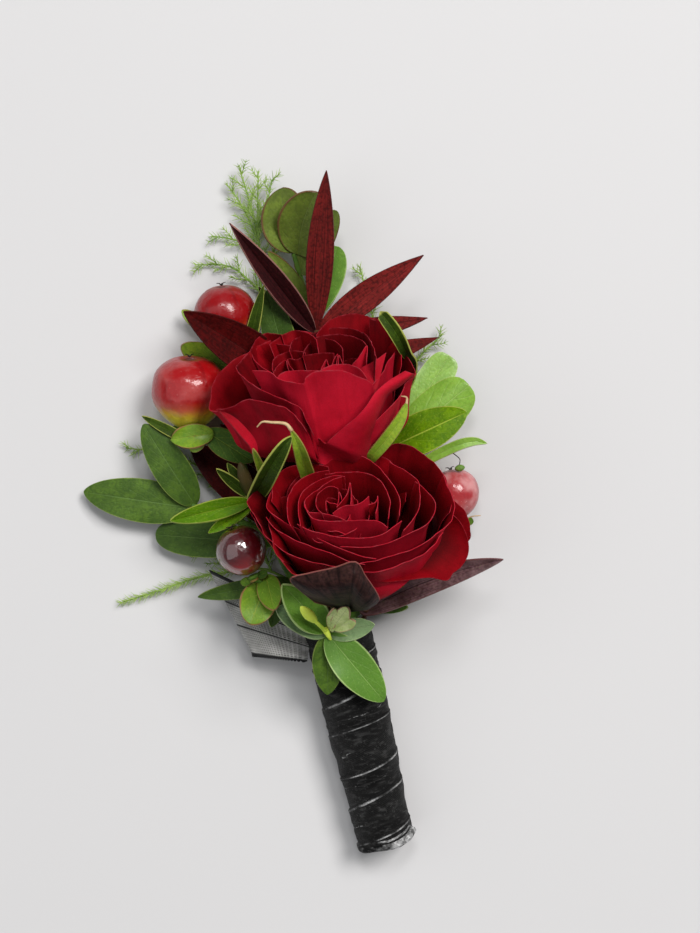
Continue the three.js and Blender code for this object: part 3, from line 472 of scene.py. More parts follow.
def organzaFinish():
    finish = Finish("sheerRibbon", Specular_IOR_Level=0.4)
    u, v = finish.blade()
    warp = abs((u * math.pi * ribbonLook["threads"]).sine()).rise(0.55, 0.95)
    weft = abs((v * math.pi * ribbonLook["rows"]).sine()).rise(0.55, 0.95)
    mesh = warp.larger(weft)
    selvedge = (1 - u.rise(0.03, 0.045)).larger(u.rise(0.955, 0.97))
    left, right = (u.band(place, 0.008, 0.016) for place in ribbonLook["stripes"])
    solid = selvedge.larger(left.larger(right))
    sheen = finish.grain(ribbonLook["sheen"])
    # Net threads are painted a pale grey sheen of lit threads over the black ribbon; the solid selvedge and
    # stripes stay black.
    pale = (0.7 + 0.3 * sheen.rise(0.35, 0.65)) * (1 - solid)
    colour = finish.mix(pale, ribbonLook["black"], ribbonLook["netSheen"])
    alpha = (0.12 + 0.56 * mesh).larger(0.92 * solid)
    return finish.finishWith(colour, 0.42 + 0.1 * sheen, mesh, ribbonLook["netRelief"], 0.4, Alpha=alpha)


tapeLook = {
    "green": (0.05, 0.085, 0.03), "dark": (0.025, 0.045, 0.018), "crepe": 0.5, "patches": 3, "relief": 0.15,
}


def tapeFinish():
    finish = Finish("floralTape", Specular_IOR_Level=0.3)
    crepe = finish.grain(tapeLook["crepe"], 4)
    colour = finish.mix(finish.grain(tapeLook["patches"]), tapeLook["green"], tapeLook["dark"])
    return finish.finishWith(colour, 0.7 + 0.15 * crepe, crepe, tapeLook["relief"])


def tableFinish():
    finish = Finish("paleTable", Specular_IOR_Level=0.15)
    cloud = finish.grain(studio["tableCloud"], 2)
    colour = finish.mix(cloud, studio["table"], tuple(0.985 * part for part in studio["table"]))
    return finish.finishWith(colour, 0.85 + 0.05 * cloud)


finishes = {"blackRibbon": ribbonFinish(), "sheerRibbon": organzaFinish(), "floralTape": tapeFinish()}
for looks, makeFinish in ((petalLooks, petalFinish), (leafLooks, leafFinish), (stemLooks, stemFinish),
                          (berryLooks, berryFinish)):
    finishes |= {name: makeFinish(name, look) for name, look in looks.items()}
petalFaces = [finishes[name] for name in petalLooks]
print("finishes made:", len(finishes))


# Modelling helpers: u runs across a blade from -1 to 1, and v from its foot to its tip
def smooth(value):
    value = min(1, max(0, value))
    return value * value * (3 - 2 * value)


def past(value, start):
    return max(0, (value - start) / (1 - start))


def between(ends, part):
    return ends[0] + (ends[1] - ends[0]) * part


def paint(piece, attribute, values):
    data = piece.data.attributes.new(attribute, "FLOAT", "POINT").data
    data.foreach_set("value", values if isinstance(values, list) else [values] * len(data))


def blade(shape, grid, thickness, materials, tone=0.5):
    deselect()
    bpy.ops.mesh.primitive_grid_add(x_subdivisions=grid[0], y_subdivisions=grid[1], size=2)
    piece = bpy.context.object
    for vertex in piece.data.vertices:
        vertex.co = shape(vertex.co.x, (vertex.co.y + 1) / 2) * mm
    for material in materials:
        piece.data.materials.append(material)
    wall = piece.modifiers.new("wall", "SOLIDIFY")
    wall.thickness = thickness * mm
    wall.offset = 0
    wall.material_offset = len(materials) - 1
    bpy.ops.object.modifier_apply(modifier=wall.name)
    paint(piece, "tone", tone)
    return piece


def joined(name, pieces):
    deselect()
    for piece in pieces:
        piece.select_set(True)
    bpy.context.view_layer.objects.active = pieces[0]
    bpy.ops.object.join()
    whole = bpy.context.object
    whole.name = name
    whole.data.name = name
    bpy.ops.object.shade_smooth_by_angle(angle=softAngle)
    return whole


def settle(piece, node, slot):
    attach(piece, "root")
    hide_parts(node)
    print(piece.name, "made,", len(piece.data.polygons), "faces")
    return piece


def leafOutline(v, widest, plump):
    return (v / widest) ** (widest * plump) * ((1 - v) / (1 - widest)) ** ((1 - widest) * plump)


leafGrowth = {
    "tip": 0.06, "hookFrom": 0.6, "wavePitch": 5.0, "sideShift": 1.3, "fineWave": 2.3, "driftPitch": 3.7,
    "drift": 6,
}


def leafShape(base, tip, width, widest=0.45, plump=1.3, bow=0, sway=0, fold=8, cup=0, neck=0.6, wave=0.0,
              hook=(0, 0, 0)):
    start = Vector(base)
    span = Vector(tip) - start
    along = span.normalized()
    side = along.cross(straightUp).normalized()
    up = side.cross(along)
    rise, flat = math.sin(math.radians(fold)), math.cos(math.radians(fold))
    drift = noise.noise(start * leafGrowth["driftPitch"]) * leafGrowth["drift"]
    fine = leafGrowth["fineWave"] * leafGrowth["wavePitch"]

    def shape(u, v):
        v = (1 - math.cos(math.pi * v)) / 2
        arch = 4 * v * (1 - v)
        least = neck if v < widest else leafGrowth["tip"]
        half = max(least / 2, width / 2 * leafOutline(v, widest, plump))
        shift = leafGrowth["sideShift"] if u > 0 else 0
        edge = wave * u * abs(u) * math.sin(leafGrowth["wavePitch"] * v + drift + shift)
        edge += 0.5 * wave * abs(u) ** 3 * math.sin(fine * v + 2 * drift)
        lift = half * (rise * abs(u) + cup * u * u) + edge * arch ** 0.5
        place = start + span * v + up * bow * arch + side * sway * arch + side * half * flat * u + up * lift
        return place + Vector(hook) * past(v, leafGrowth["hookFrom"]) ** 2

    return shape


leafGrid = {"wide": (14, 22), "narrow": (8, 16), "strap": (8, 30), "wideFrom": 3.6, "thickness": 0.32}


def leaf(finish, base, tip, width, tone=None, **form):
    grid = leafGrid["wide" if width > leafGrid["wideFrom"] else "narrow"]
    tone = 0.5 + 0.5 * noise.noise(Vector(tip) * 0.9) if tone is None else tone
    form.setdefault("wave", 0.05 * width)
    return blade(leafShape(base, tip, width, **form), grid, leafGrid["thickness"], [finishes[finish]], tone)


def smoothRoute(points, steps=4):
    points = [Vector(point) for point in points]
    padded = [2 * points[0] - points[1], *points, 2 * points[-1] - points[-2]]
    route = []
    for a, b, c, d in zip(padded, padded[1:], padded[2:], padded[3:]):
        for step in range(steps):
            t = step / steps
            route.append(0.5 * (2 * b + (c - a) * t + (2 * a - 5 * b + 4 * c - d) * t ** 2
                                + (3 * b - a - 3 * c + d) * t ** 3))
    return route + [points[-1]]


def onRoute(route, part):
    part *= len(route) - 1
    index = min(int(part), len(route) - 2)
    return route[index].lerp(route[index + 1], part - index)


def strap(finish, points, width, tone=0.4, widest=0.4, plump=1.3, fold=20, neck=0.8, facing=(0, 0, 1)):
    route = smoothRoute(points, 8)
    rise, flat = math.sin(math.radians(fold)), math.cos(math.radians(fold))

    def shape(u, v):
        index = min(int(v * (len(route) - 1)), len(route) - 2)
        along = (route[index + 1] - route[index]).normalized()
        side = along.cross(Vector(facing)).normalized()
        up = side.cross(along)
        half = max(neck / 2 if v < widest else 0.05, width / 2 * leafOutline(v, widest, plump))
        return onRoute(route, v) + half * (side * flat * u + up * rise * abs(u))

    return blade(shape, leafGrid["strap"], leafGrid["thickness"], [finishes[finish]], tone)


def tube(finish, points, radius, end=1.0, steps=4, sides=2):
    deselect()
    route = smoothRoute(points, steps)
    curve = bpy.data.curves.new("stalk", "CURVE")
    curve.dimensions = "3D"
    curve.bevel_depth = 1.0
    curve.bevel_resolution = sides
    curve.use_fill_caps = True
    line = curve.splines.new("POLY")
    line.points.add(len(route) - 1)
    for number, (spot, point) in enumerate(zip(line.points, route)):
        spot.co = (*(point * mm), 1)
        spot.radius = radius * mm * (1 + (end - 1) * number / (len(route) - 1))
    piece = bpy.data.objects.new("stalk", curve)
    bpy.context.scene.collection.objects.link(piece)
    piece.select_set(True)
    bpy.context.view_layer.objects.active = piece
    bpy.ops.object.convert(target="MESH")
    piece = bpy.context.object
    piece.data.materials.append(finishes[finish])
    paint(piece, "tone", 0.5)
    return piece


class Stand:                     # a turned thing's foot and axis: azimuth 0 faces up and 90 is to the right
    def __init__(self, base, lean):
        self.base = Vector(base)
        self.axis = Vector(lean).normalized()
        self.near = (straightUp - self.axis * self.axis.z).normalized()
        self.right = self.axis.cross(self.near)

    def at(self, azimuth, radius, level):
        angle = math.radians(azimuth)
        return (self.base + self.axis * level + self.near * radius * math.cos(angle)
                + self.right * radius * math.sin(angle))

    def split(self, point):
        level = (point - self.base).dot(self.axis)
        return level, point - self.base - self.axis * level


def turned(finish, stand, profile, sides=20, rings=14, lumps=0.0):
    deselect()
    bpy.ops.mesh.primitive_uv_sphere_add(segments=sides, ring_count=rings, radius=1)
    piece = bpy.context.object
    for vertex in piece.data.vertices:
        part = (1 - math.acos(max(-1, min(1, vertex.co.z))) / math.pi) * (len(profile) - 1)
        index = min(int(part), len(profile) - 2)
        (r0, h0), (r1, h1) = profile[index:index + 2]
        radius, level = r0 + (r1 - r0) * (part - index), h0 + (h1 - h0) * (part - index)
        azimuth = math.degrees(math.atan2(vertex.co.y, vertex.co.x))
        radius *= 1 + lumps * noise.noise(vertex.co * 1.7 + stand.base * 0.3)
        vertex.co = stand.at(azimuth, radius, level) * mm
    piece.data.materials.append(finishes[finish])
    paint(piece, "tone", 0.5)
    return piece


budProfile = [(0, 0), (0.6, 0.12), (1, 0.45), (0.85, 0.7), (0.5, 0.9), (0, 1)]


def bud(finish, base, tip, radius):
    reach = Vector(tip) - Vector(base)
    profile = [(part * radius, height * reach.length) for part, height in budProfile]
    return turned(finish, Stand(base, reach), profile, 12, 12)


# Handle: the frame that the stems and the ribbon share
handle = {
    "lean": 12.8, "dip": 1.3, "height": 5.4, "foot": 34.5, "neck": 2, "top": -3.4,
    "ring": 2.3, "pocketRing": 3.1,
}
lean, dip = math.radians(handle["lean"]), math.radians(handle["dip"])
handleDown = Vector((math.sin(lean), -math.cos(lean), -math.sin(dip))).normalized()
handleAcross = Vector((math.cos(lean), math.sin(lean), 0))
handleFront = handleDown.cross(handleAcross).normalized()


def inHandle(angle, ring, along):
    turn = math.radians(angle)
    return (Vector((0, 0, handle["height"])) + handleDown * along
            + handleAcross * ring * math.cos(turn) + handleFront * ring * math.sin(turn))


def stem(finish, angle, ring, radius, points, end=0.8):
    held = [inHandle(angle, ring, along) for along in (handle["foot"], handle["neck"], handle["top"])]
    return tube(finish, [*held, *points], radius, end)


# Roses: a rim is one petal's upper edge, followed in the photo. A margin is an edge turned over,
# between the lines of its foot and its rim. The higher its tone, the darker a petal is.
upperRose = {
    "stand": Stand((0.9, 30, 11.6), (-0.14, 0.915, 0.38)),
    "core": 15.5, "seed": 5,
    "spiral": {"count": 16, "first": 20, "inner": 1.8, "outer": 9.4, "height": 17.2, "fall": 0.2, "peak": 1,
               "frontFall": 0, "furl": 1.2},
    "outerPetals": [
        {"azimuth": 58, "span": 50, "belly": 10.4, "rim": 13.2, "height": 16.6, "skew": 0.4, "curl": 1.7},
        {"azimuth": 128, "rim": 12.6, "height": 20.2},
        {"azimuth": 214, "rim": 12.8, "height": 20.8},
    ],
    "rims": {
        "front": [
            (-13.9, 45.1, 26), (-11.3, 44.9, 27.5), (-9.5, 43.7, 29), (-7.6, 43.1, 30),
            (-5.6, 42.8, 30.4), (-5.2, 43.8, 30.6), (-3.6, 44.7, 30.8), (-1.3, 45, 30.6),
            (0.3, 44.9, 30.4), (2.5, 44.2, 29.4), (4.8, 43.3, 28), (5.7, 42, 26),
        ],
        "middleLeft": [
            (-15, 48.4, 19), (-16.2, 46.6, 22), (-16.6, 45.6, 23.5), (-15.1, 43.8, 25.5),
            (-12.2, 41.9, 27.8), (-8.6, 40.3, 29), (-6.3, 39.2, 28.6), (-5, 36.7, 27.4), (-4, 34.7, 25),
            (-2.6, 33.6, 22),
        ],
        "lowLeft": [
            (-20.1, 39, 22), (-17.4, 39.3, 25), (-15, 40.4, 27), (-13.3, 40.3, 28.5), (-10.5, 39.6, 30),
            (-8.5, 39.1, 30.4), (-7.2, 38, 30), (-5.8, 36.5, 29), (-4.9, 34.7, 27), (-5.2, 32.9, 24),
        ],
        "backLeft": [
            (-15.3, 48.7, 14.9), (-14.7, 49.9, 12.9), (-14.1, 51.4, 9.9), (-12.9, 52.4, 8.8),
            (-11.4, 52.3, 10.1), (-9.8, 51.9, 12.4),
        ],
        "backFold": [
            (-11.8, 50.1, 14.8), (-10.4, 51.3, 12.5), (-9.2, 52.3, 10.8), (-7.8, 52.8, 10.3),
            (-6.3, 52.5, 11.9), (-4.7, 51.7, 14.4), (-3.8, 50.7, 17.5),
        ],
        "leftFold": [
            (-11.1, 45, 22.6), (-12.8, 46.2, 19.6), (-14.2, 47.5, 16.3), (-14.8, 49, 13),
            (-14, 50.1, 11.2), (-12.8, 50.4, 11.3), (-11.3, 50.5, 12.2), (-9.8, 50.2, 14),
            (-8.2, 49.9, 15.7),
        ],
        "backRing": [
            (-8.3, 49, 17.1), (-7.9, 50.8, 13.1), (-6.3, 51.9, 10.9), (-4.4, 52.3, 10.6),
            (-3.1, 52.9, 9.8), (-1.2, 53.3, 9.6), (1.3, 53.2, 10.7), (3.4, 52.4, 13.2), (4.6, 51.3, 16.6),
            (5.4, 49.5, 21.1), (5.9, 47.2, 26.8),
        ],
        "backInner": [
            (-5, 51.1, 13.5), (-3.7, 51.6, 12.6), (-2.1, 51.9, 12.3), (-0.2, 52, 12.9), (2.1, 51.5, 14.7),
            (3.9, 50.4, 17.8), (4.5, 49.2, 20.9),
        ],
        "heartRing": [
            (-6, 47.8, 19.5), (-5.8, 49.1, 16.3), (-5, 50.4, 13.4), (-3.5, 51.4, 11.7),
            (-2.1, 51.2, 12.6), (-0.6, 50.6, 14.7), (0.5, 49.2, 18.5),
        ],
        "leftRing": [
            (-10.8, 45.4, 21.9), (-11.1, 46.8, 18.8), (-10.4, 48, 16.6), (-8.9, 48.8, 15.6),
            (-7.2, 48.9, 16.5), (-5.7, 48.6, 18),
        ],
        "leftTip": [
            (-10.6, 44.9, 23.7), (-10.1, 46.1, 20.8), (-9.3, 47.1, 18.9), (-8.8, 47.2, 18.8),
            (-8.4, 45.9, 22.1),
        ],
        "midRing": [
            (-7.4, 45.3, 23.9), (-8.2, 46.4, 20.9), (-8.5, 47.5, 18.4), (-7.1, 47.3, 19.3),
            (-5.7, 48, 18.2), (-3.8, 48.4, 18), (-2, 48.5, 18.6), (-0.9, 48.3, 19.6),
        ],
        "midTip": [
            (-1.2, 46, 24.6), (-0.8, 47.4, 21.4), (-0.3, 48.2, 19.8), (-0.4, 46.7, 23.3),
            (-0.5, 46.1, 24.7),
        ],
        "smallTip": [(-0.2, 46.1, 25.1), (-0.1, 47.9, 20.9), (0.3, 47.1, 22.7), (0.6, 46.2, 25.2)],
        "lowTip": [
            (-2.9, 45.3, 25.9), (-2.5, 46.5, 23.3), (-2.1, 47.1, 21.9), (-1.9, 46.5, 23.5),
            (-1.6, 45.8, 25.3),
        ],
        "frontSecond": [
            (-10, 43.9, 26.9), (-9.1, 44.9, 25), (-7.3, 45.2, 24.9), (-5.5, 45.2, 25.7),
            (-3.7, 45.1, 26.7), (-2.7, 44.9, 27.6),
        ],
        "frontThird": [
            (-3.1, 45.1, 26.9), (-1.9, 45.8, 25.8), (0.1, 46.2, 25.5), (2, 46, 26.2), (3.4, 45.2, 27),
            (4.4, 43.8, 27),
        ],
        "backRight": [
            (-4, 51.9, 12), (-2.8, 53.5, 10.5), (-1.4, 54.8, 9.5), (1.7, 55.8, 9), (5.1, 55.1, 9.5),
            (7.2, 54.3, 10.5), (8.6, 52.4, 12.5),
        ],
        "farLeft": [
            (-15, 48.9, 15), (-17.6, 47.5, 15.6), (-19.9, 45.3, 16), (-21.1, 43.2, 16.6),
            (-21.4, 41.2, 17.4), (-21.2, 39, 18.8), (-19.1, 38.9, 20.5),
        ],
        "farRight": [
            (5, 54.7, 11), (7.1, 54.2, 12), (9.2, 52.1, 13.4), (10.6, 49.1, 16), (11.8, 46.6, 19),
            (12.3, 44.9, 21.6), (10.6, 43.1, 22),
        ],
        "innerRight": [
            (9.1, 48.7, 18), (8.1, 47.2, 20), (6.9, 45, 22.4), (5.3, 42.8, 25), (3.4, 40.6, 26.5),
        ],
        "thorn": [(2.1, 46.4, 22), (3.2, 47.5, 22.6), (4.5, 49.4, 22), (4.4, 47, 23), (4.5, 46.2, 23)],
    },
    # Listed petal tones paint shade: high for petals deep in the cup and in shadow, low for the lit front
    # petals.
    "shadeTones": {
        "front": 0.1, "frontSecond": 0.3, "frontThird": 0.1, "lowLeft": 1, "middleLeft": 0.8, "farLeft": 0,
        "farRight": 1, "backRight": 0.4, "backRing": 0.8, "backInner": 1, "heartRing": 0.7, "leftRing": 0.6,
        "midRing": 0.7,
    },
    "margins": [{
        "rim": [
            (-3.3, 30.4, 22), (-4.5, 32.9, 23), (-4.1, 34.4, 24), (-3.2, 34.3, 25), (-2.2, 33.5, 26),
            (-1.4, 34.2, 27), (0.5, 35.8, 28.2), (2.7, 37.6, 29.2), (4.3, 39.4, 29.4), (5.7, 41.5, 28.4),
            (7.8, 43.4, 26.4), (10.6, 45.2, 23.4),
        ],
        "foot": [
            (-1, 29.7, 18), (0.9, 29.5, 18), (2.3, 29.5, 18.4), (3.5, 29.7, 19), (4.4, 30.9, 20),
            (4.9, 32, 20.6), (5.5, 34.3, 21.6), (6.2, 36.6, 22.4), (6.9, 38.9, 22.8), (7.9, 41.3, 22.4),
            (10, 42.9, 21.6), (12.3, 44.8, 21),
        ],
        "bulge": (0.3, -0.2, 1.4),
    }, {
        "rim": [(2.8, 45.2, 23), (4.1, 46, 23.4), (5.7, 46.9, 22.8), (7.6, 48.3, 21.6)],
        "foot": [(2.4, 42.4, 23.4), (3.4, 42, 24), (4.6, 41.6, 24.4), (5.8, 41.4, 24.4)],
        "bulge": (0, -0.1, 0.3), "tone": 0.7,
    }],
    "strip": {
        "points": [
            (-19.2, 38.7, 22.5), (-17, 37, 25), (-15.3, 35.2, 26), (-14, 33.6, 26), (-13.5, 32, 25),
            (-13.6, 30.6, 23),
        ],
        "width": 1.6, "plump": 1.5, "fold": 16, "neck": 0.5, "facing": (0.5, -0.2, 1),
    },
    "wide": {"root": 2.4, "span": 44, "belly": 9.6, "height": 19.4, "curl": 1.2, "drop": 0.6},
}
lowerRose = {
    "stand": Stand((2.6, 12.2, 16), (-0.12, 0.63, 0.767)),
    "core": 15, "seed": 11,
    "coreStand": Stand((2.6, 12.2, 16), (-0.21, 0.69, 0.7)),
    "spiral": {"count": 12, "first": 0, "inner": 0.9, "outer": 5, "height": 15.2, "fall": 0.4, "peak": 0.6,
               "frontFall": 0.8, "furl": 1.4},
    "outerPetals": [
        {"azimuth": 190, "rim": 10.6, "height": 15.4},
        {"azimuth": 145, "rim": 12, "height": 14.6, "span": 40},
        {"azimuth": 250, "rim": 11, "height": 14, "span": 40},
    ],
    "rims": {
        "farRight": [
            (17.9, 24.7, 22), (19.6, 23.4, 22), (20.9, 21.6, 21.6), (21.3, 19.6, 21), (21, 17.6, 20),
            (19.4, 15.6, 19),
        ],
        "rightWide": [
            (16.7, 28.4, 25), (17.7, 25.9, 26.7), (18.3, 23.5, 28.4), (17.7, 21.4, 29.6),
            (15.4, 19.2, 30.6), (12.8, 17.4, 31.2), (9.4, 16.1, 31.4), (6.5, 15.3, 31.2),
            (3.3, 14.6, 30.8),
        ],
        "rightLow": [
            (16.5, 19.4, 29.5), (14.2, 16.7, 31), (12, 15.5, 31.3), (10.1, 14.7, 31.3), (7, 13.5, 31.5),
            (4.1, 13.2, 30.8), (2.1, 13.6, 29.9),
        ],
        "rightInner": [
            (8.1, 30.6, 23.6), (10.5, 29.2, 25), (12.2, 27.9, 26.3), (12.8, 25.9, 27.8),
            (12.6, 23.3, 29.8), (11.6, 21.4, 31.1), (10.1, 19.8, 32.1),
        ],
        "rightSweep": [
            (12, 27.4, 26.4), (14.1, 25.7, 27.8), (15.2, 23.8, 29.2), (14.2, 21.2, 30.9),
            (12.5, 20, 31.2), (9.4, 18.5, 31.6), (6.5, 17.5, 31.7), (3.6, 17.1, 31.2), (0.2, 17.2, 30.3),
        ],
        "leftSweep": [
            (-10.5, 26.6, 22.7), (-11.5, 24.7, 23.8), (-11.6, 23.2, 24.7), (-10.4, 22, 25.6),
            (-7.9, 20.5, 26.8), (-5.2, 19.4, 27.9), (-2.2, 17.9, 29.2), (0.7, 16.7, 30.3),
            (3.6, 15.7, 31.3), (5.8, 15.4, 31.6),
        ],
        "leftOuter": [
            (-9.4, 27.2, 20.3), (-12.9, 26.6, 19.9), (-14.8, 24.5, 21.1), (-14.5, 23.1, 21.9),
            (-13.2, 20.9, 23.6), (-11.4, 18.3, 25.7), (-7.9, 15.9, 27.9), (-4.7, 14.8, 29),
            (-1.7, 14.2, 29.6), (0.7, 13.9, 30),
        ],
        "leftLow": [
            (-14.4, 22.3, 21.2), (-13.3, 20.1, 22.7), (-11.4, 17.7, 24.5), (-9.9, 15.8, 25.8),
            (-7.6, 13, 28.1), (-5.7, 12.5, 28.2),
        ],
        "leftSecond": [
            (-11.7, 21.7, 25), (-10.1, 19.8, 26.4), (-6.9, 18.1, 27.9), (-3.9, 17, 28.9),
            (-1.3, 16.1, 29.6), (1.7, 14.9, 30.7), (4.1, 14.4, 31.1),
        ],
        "frontSecond": [
            (-6.7, 20.7, 28.7), (-5.1, 19.9, 29.5), (-3.2, 19.4, 30.2), (0.2, 18.7, 31.2),
            (3.6, 18.6, 31.7), (6, 19, 31.7), (7.9, 19.9, 31.2), (9.8, 21.3, 30.3),
        ],
        "frontInner": [
            (-5.6, 24.2, 27), (-4.9, 22.4, 28.5), (-3.9, 21.5, 29.3), (-1.3, 21.2, 29.9),
            (2.1, 21.3, 30.2), (5.8, 21.3, 30.8), (7.6, 20.3, 31.7),
        ],
        "leftInner": [
            (-7.6, 20.4, 29.1), (-8.3, 22.3, 27.6), (-8.3, 24.2, 26.2), (-7.6, 26.2, 24.8),
            (-6, 27.9, 23.8), (-4.1, 28.8, 23.6), (-1.7, 29.2, 23.8),
        ],
        "leftInmost": [
            (-6.1, 20.4, 29.8), (-6.5, 22.5, 28.1), (-6.4, 24.5, 26.7), (-5.5, 26.2, 25.6),
            (-3.5, 27.4, 24.9), (-1.3, 28.3, 24.7), (0.9, 28.2, 25.3),
        ],
        "spike": [
            (-0.4, 23.4, 29.1), (0.7, 24.6, 28.3), (1.4, 25.8, 27.5), (1.7, 27.2, 26.3),
            (1.9, 25.9, 27.4), (1.9, 24.5, 28.6), (1.8, 23.8, 29.1),
        ],
        "flap": [
            (-1, 22.4, 29.6), (-0.1, 23.1, 29.2), (0.9, 23.6, 29.1), (2.3, 23.7, 29.2), (3.3, 24, 29.2),
            (4.2, 24.6, 29), (4.7, 25.1, 28.7),
        ],
        "flapRight": [
            (4.7, 23.8, 29.6), (5.6, 24.1, 29.4), (6, 24.6, 29), (6.1, 25.1, 28.5), (6.1, 23.5, 29.7),
            (5.8, 22.4, 30.6),
        ],
        "crescent": [
            (-2.7, 22.4, 29.4), (-3.4, 23.1, 28.7), (-3.7, 24.1, 27.9), (-3.5, 25.2, 27.1),
            (-2.8, 26, 26.6), (-1.9, 26.5, 26.4), (-0.9, 26.6, 26.5), (-0.2, 26.3, 26.9),
        ],
        "heartLow": [
            (-2, 22.8, 28.8), (-2.1, 24.3, 27.6), (-1.5, 24, 27.9), (-0.6, 23.9, 28.2),
            (-0.2, 23.7, 28.6),
        ],
        "frontMid": [
            (-4.8, 22.5, 28.6), (-3.7, 22.5, 28.7), (-2.7, 22.4, 29), (-1.6, 22.2, 29.3),
            (-0.3, 21.9, 29.7), (0.9, 21.4, 30.3),
        ],
        "tip": [
            (-0.3, 23.6, 28.7), (-0.1, 24.5, 28), (0, 25.7, 27.1), (0.3, 25.1, 27.6), (0.4, 24.6, 28.1),
        ],
        "leftThird": [
            (-4.8, 22.6, 28.4), (-5.5, 23.5, 27.7), (-5.4, 24.5, 27), (-4.5, 25.4, 26.4),
            (-3.5, 26, 26.2), (-2.5, 26.9, 25.6), (-0.9, 27.8, 25.3), (0.4, 28.1, 25.3),
        ],
        "topInner": [
            (-2.3, 28.6, 24.4), (0.7, 28.9, 24.5), (3.6, 28.9, 24.9), (5.8, 28.1, 25.7),
            (7.3, 26.4, 27.2), (8.1, 24.3, 29), (7.7, 21.6, 30.9),
        ],
        "topWide": [
            (-2.3, 30.1, 22.4), (-0.3, 31.5, 21.6), (1.9, 31.9, 21.6), (4.6, 31.1, 22.6),
            (6.6, 29.4, 24.3), (8.5, 26.9, 26.6), (9.7, 24.3, 28.9), (9.4, 22.1, 30.6),
        ],
        "topLeft": [
            (-10.9, 24.2, 24.6), (-10.8, 26.1, 23.3), (-10.2, 28.1, 22), (-8.8, 29.4, 21.4),
            (-7.1, 30.1, 21.3), (-4.6, 30.3, 21.7), (-1.8, 29.8, 22.7),
        ],
        "rightTop": [
            (5.9, 31.1, 21.1), (7.2, 32.4, 20), (8.8, 33.4, 19.2), (11, 33.4, 19.4), (13.4, 32.1, 20.6),
            (15.8, 29.9, 22.7), (17.3, 27.6, 24.5), (17.8, 24.9, 26.6), (17.5, 22.5, 28.3),
        ],
    },
    # Listed petal tones paint shade: high for petals deep in the cup and in shadow, low for the lit front
    # petals.
    "shadeTones": {
        "flap": 0, "spike": 0.2, "flapRight": 0, "frontMid": 0.3, "crescent": 0.4, "frontInner": 0,
        "frontSecond": 0.2, "topWide": 0.1, "rightTop": 0.6, "leftLow": 0.9, "leftOuter": 0.8,
    },
    "margins": [{
        "rim": [
            (17.6, 22.6, 24), (19.4, 20.9, 24.3), (20.6, 18.3, 24.6), (20.7, 15.8, 25),
            (19.6, 13.8, 25.4), (18.2, 12.7, 25.6), (17.2, 11.6, 26.4), (14.5, 12.1, 26.6),
            (10.9, 11.7, 27), (7, 11.4, 27.4), (4.2, 11.8, 27.6),
        ],
        "foot": [
            (14.6, 22.4, 21), (15, 21, 22), (15, 19.4, 23), (14.4, 18.2, 24), (13.4, 17.3, 24.6),
            (12.2, 16.5, 25), (10.8, 15.8, 25.2), (9.2, 15.3, 25.4), (7.4, 15, 25.4), (5.4, 14.8, 25.4),
            (3.4, 14.6, 25.4),
        ],
        "bulge": (0, 0, -0.8), "tone": 0, "inside": True,
    }, {
        "rim": [(3.6, 12.4, 26), (5.6, 12.1, 26.4), (8.4, 11.9, 26.4), (11.4, 11.8, 25.6)],
        "foot": [(3.4, 7.4, 21), (4.2, 7.4, 21), (5, 7.6, 21), (6, 8, 21)],
        "bulge": (0, -0.4, 0.8), "tone": 0,
    }],
    "wide": {"root": 2.4, "span": 44, "belly": 9.6, "rim": 13.6, "height": 14.5, "curl": 1.4, "drop": 0.8},
}
petalForm = {
    "floor": 0.9, "bellyAt": 0.5, "opensFrom": 0.4, "lipFrom": 0.75, "flutterFrom": 0.6, "slant": 1.3,
    "corner": 0.2, "spread": (0.5, 0.27, 0.23), "ripples": [(4.1, 1, 1), (10.3, 2.1, 0.45)],
    "rise": (6.7, 1.7, 0.7), "thickness": 0.11, "grid": (26, 20), "wideGrid": (44, 22),
}
spiralForm = {
    "turn": 137.5, "span": (74, 46), "root": (0.6, 2), "belly": (0.86, 0.78), "curl": (0.3, 0.8),
    "ruffle": (0.1, 0.24), "heights": (-0.5, 0.4), "peaks": (0.3, 1.2),
}
rimForm = {"root": 2.2, "belly": 0.82, "drop": 0.5, "ruffle": 0.1}
coreProfile = [(0, 0), (3.2, 0.7), (4, 2.6), (2.8, 4.4), (1.2, 6.5)]


def flutterWave(u, phase, pitch, shift, share):
    return share * math.sin(pitch * u + shift * phase)


def petalShape(stand, azimuth, span, root, belly, rim, height, curl, phase, drop=0.4, peak=0.5, ruffle=0.4,
               skew=0.0):
    atFoot, atBelly, atRim = petalForm["spread"]

    def shape(u, v):
        cut = petalForm["corner"] * abs(u) ** 3
        reach = v * (1 - cut - abs(skew) * (1 - math.copysign(u, skew * u)) / 2)
        bulge = math.sin(quarter * min(1, reach / petalForm["bellyAt"]))
        opening = smooth(past(reach, petalForm["opensFrom"]))
        lip = past(reach, petalForm["lipFrom"]) ** 2
        flutter = ruffle * smooth(past(v, petalForm["flutterFrom"]))
        radius = root + (belly - root) * bulge + (rim - belly) * opening + curl * lip
        radius += petalForm["slant"] * u / 2 * opening
        radius += flutter * sum(flutterWave(u, phase, *ripple) for ripple in petalForm["ripples"])
        level = petalForm["floor"] + (height - petalForm["floor"]) * reach - drop * lip
        level += peak * lip * (1 - abs(u)) ** 2 + flutter * flutterWave(u, phase, *petalForm["rise"])
        share = atFoot + atBelly * bulge + atRim * opening
        return stand.at(azimuth + span * u * share, radius, level)

    return shape


def petal(stand, form, tone):
    shape = petalShape(stand, **form)
    return blade(shape, petalForm["grid"], petalForm["thickness"], petalFaces, tone)


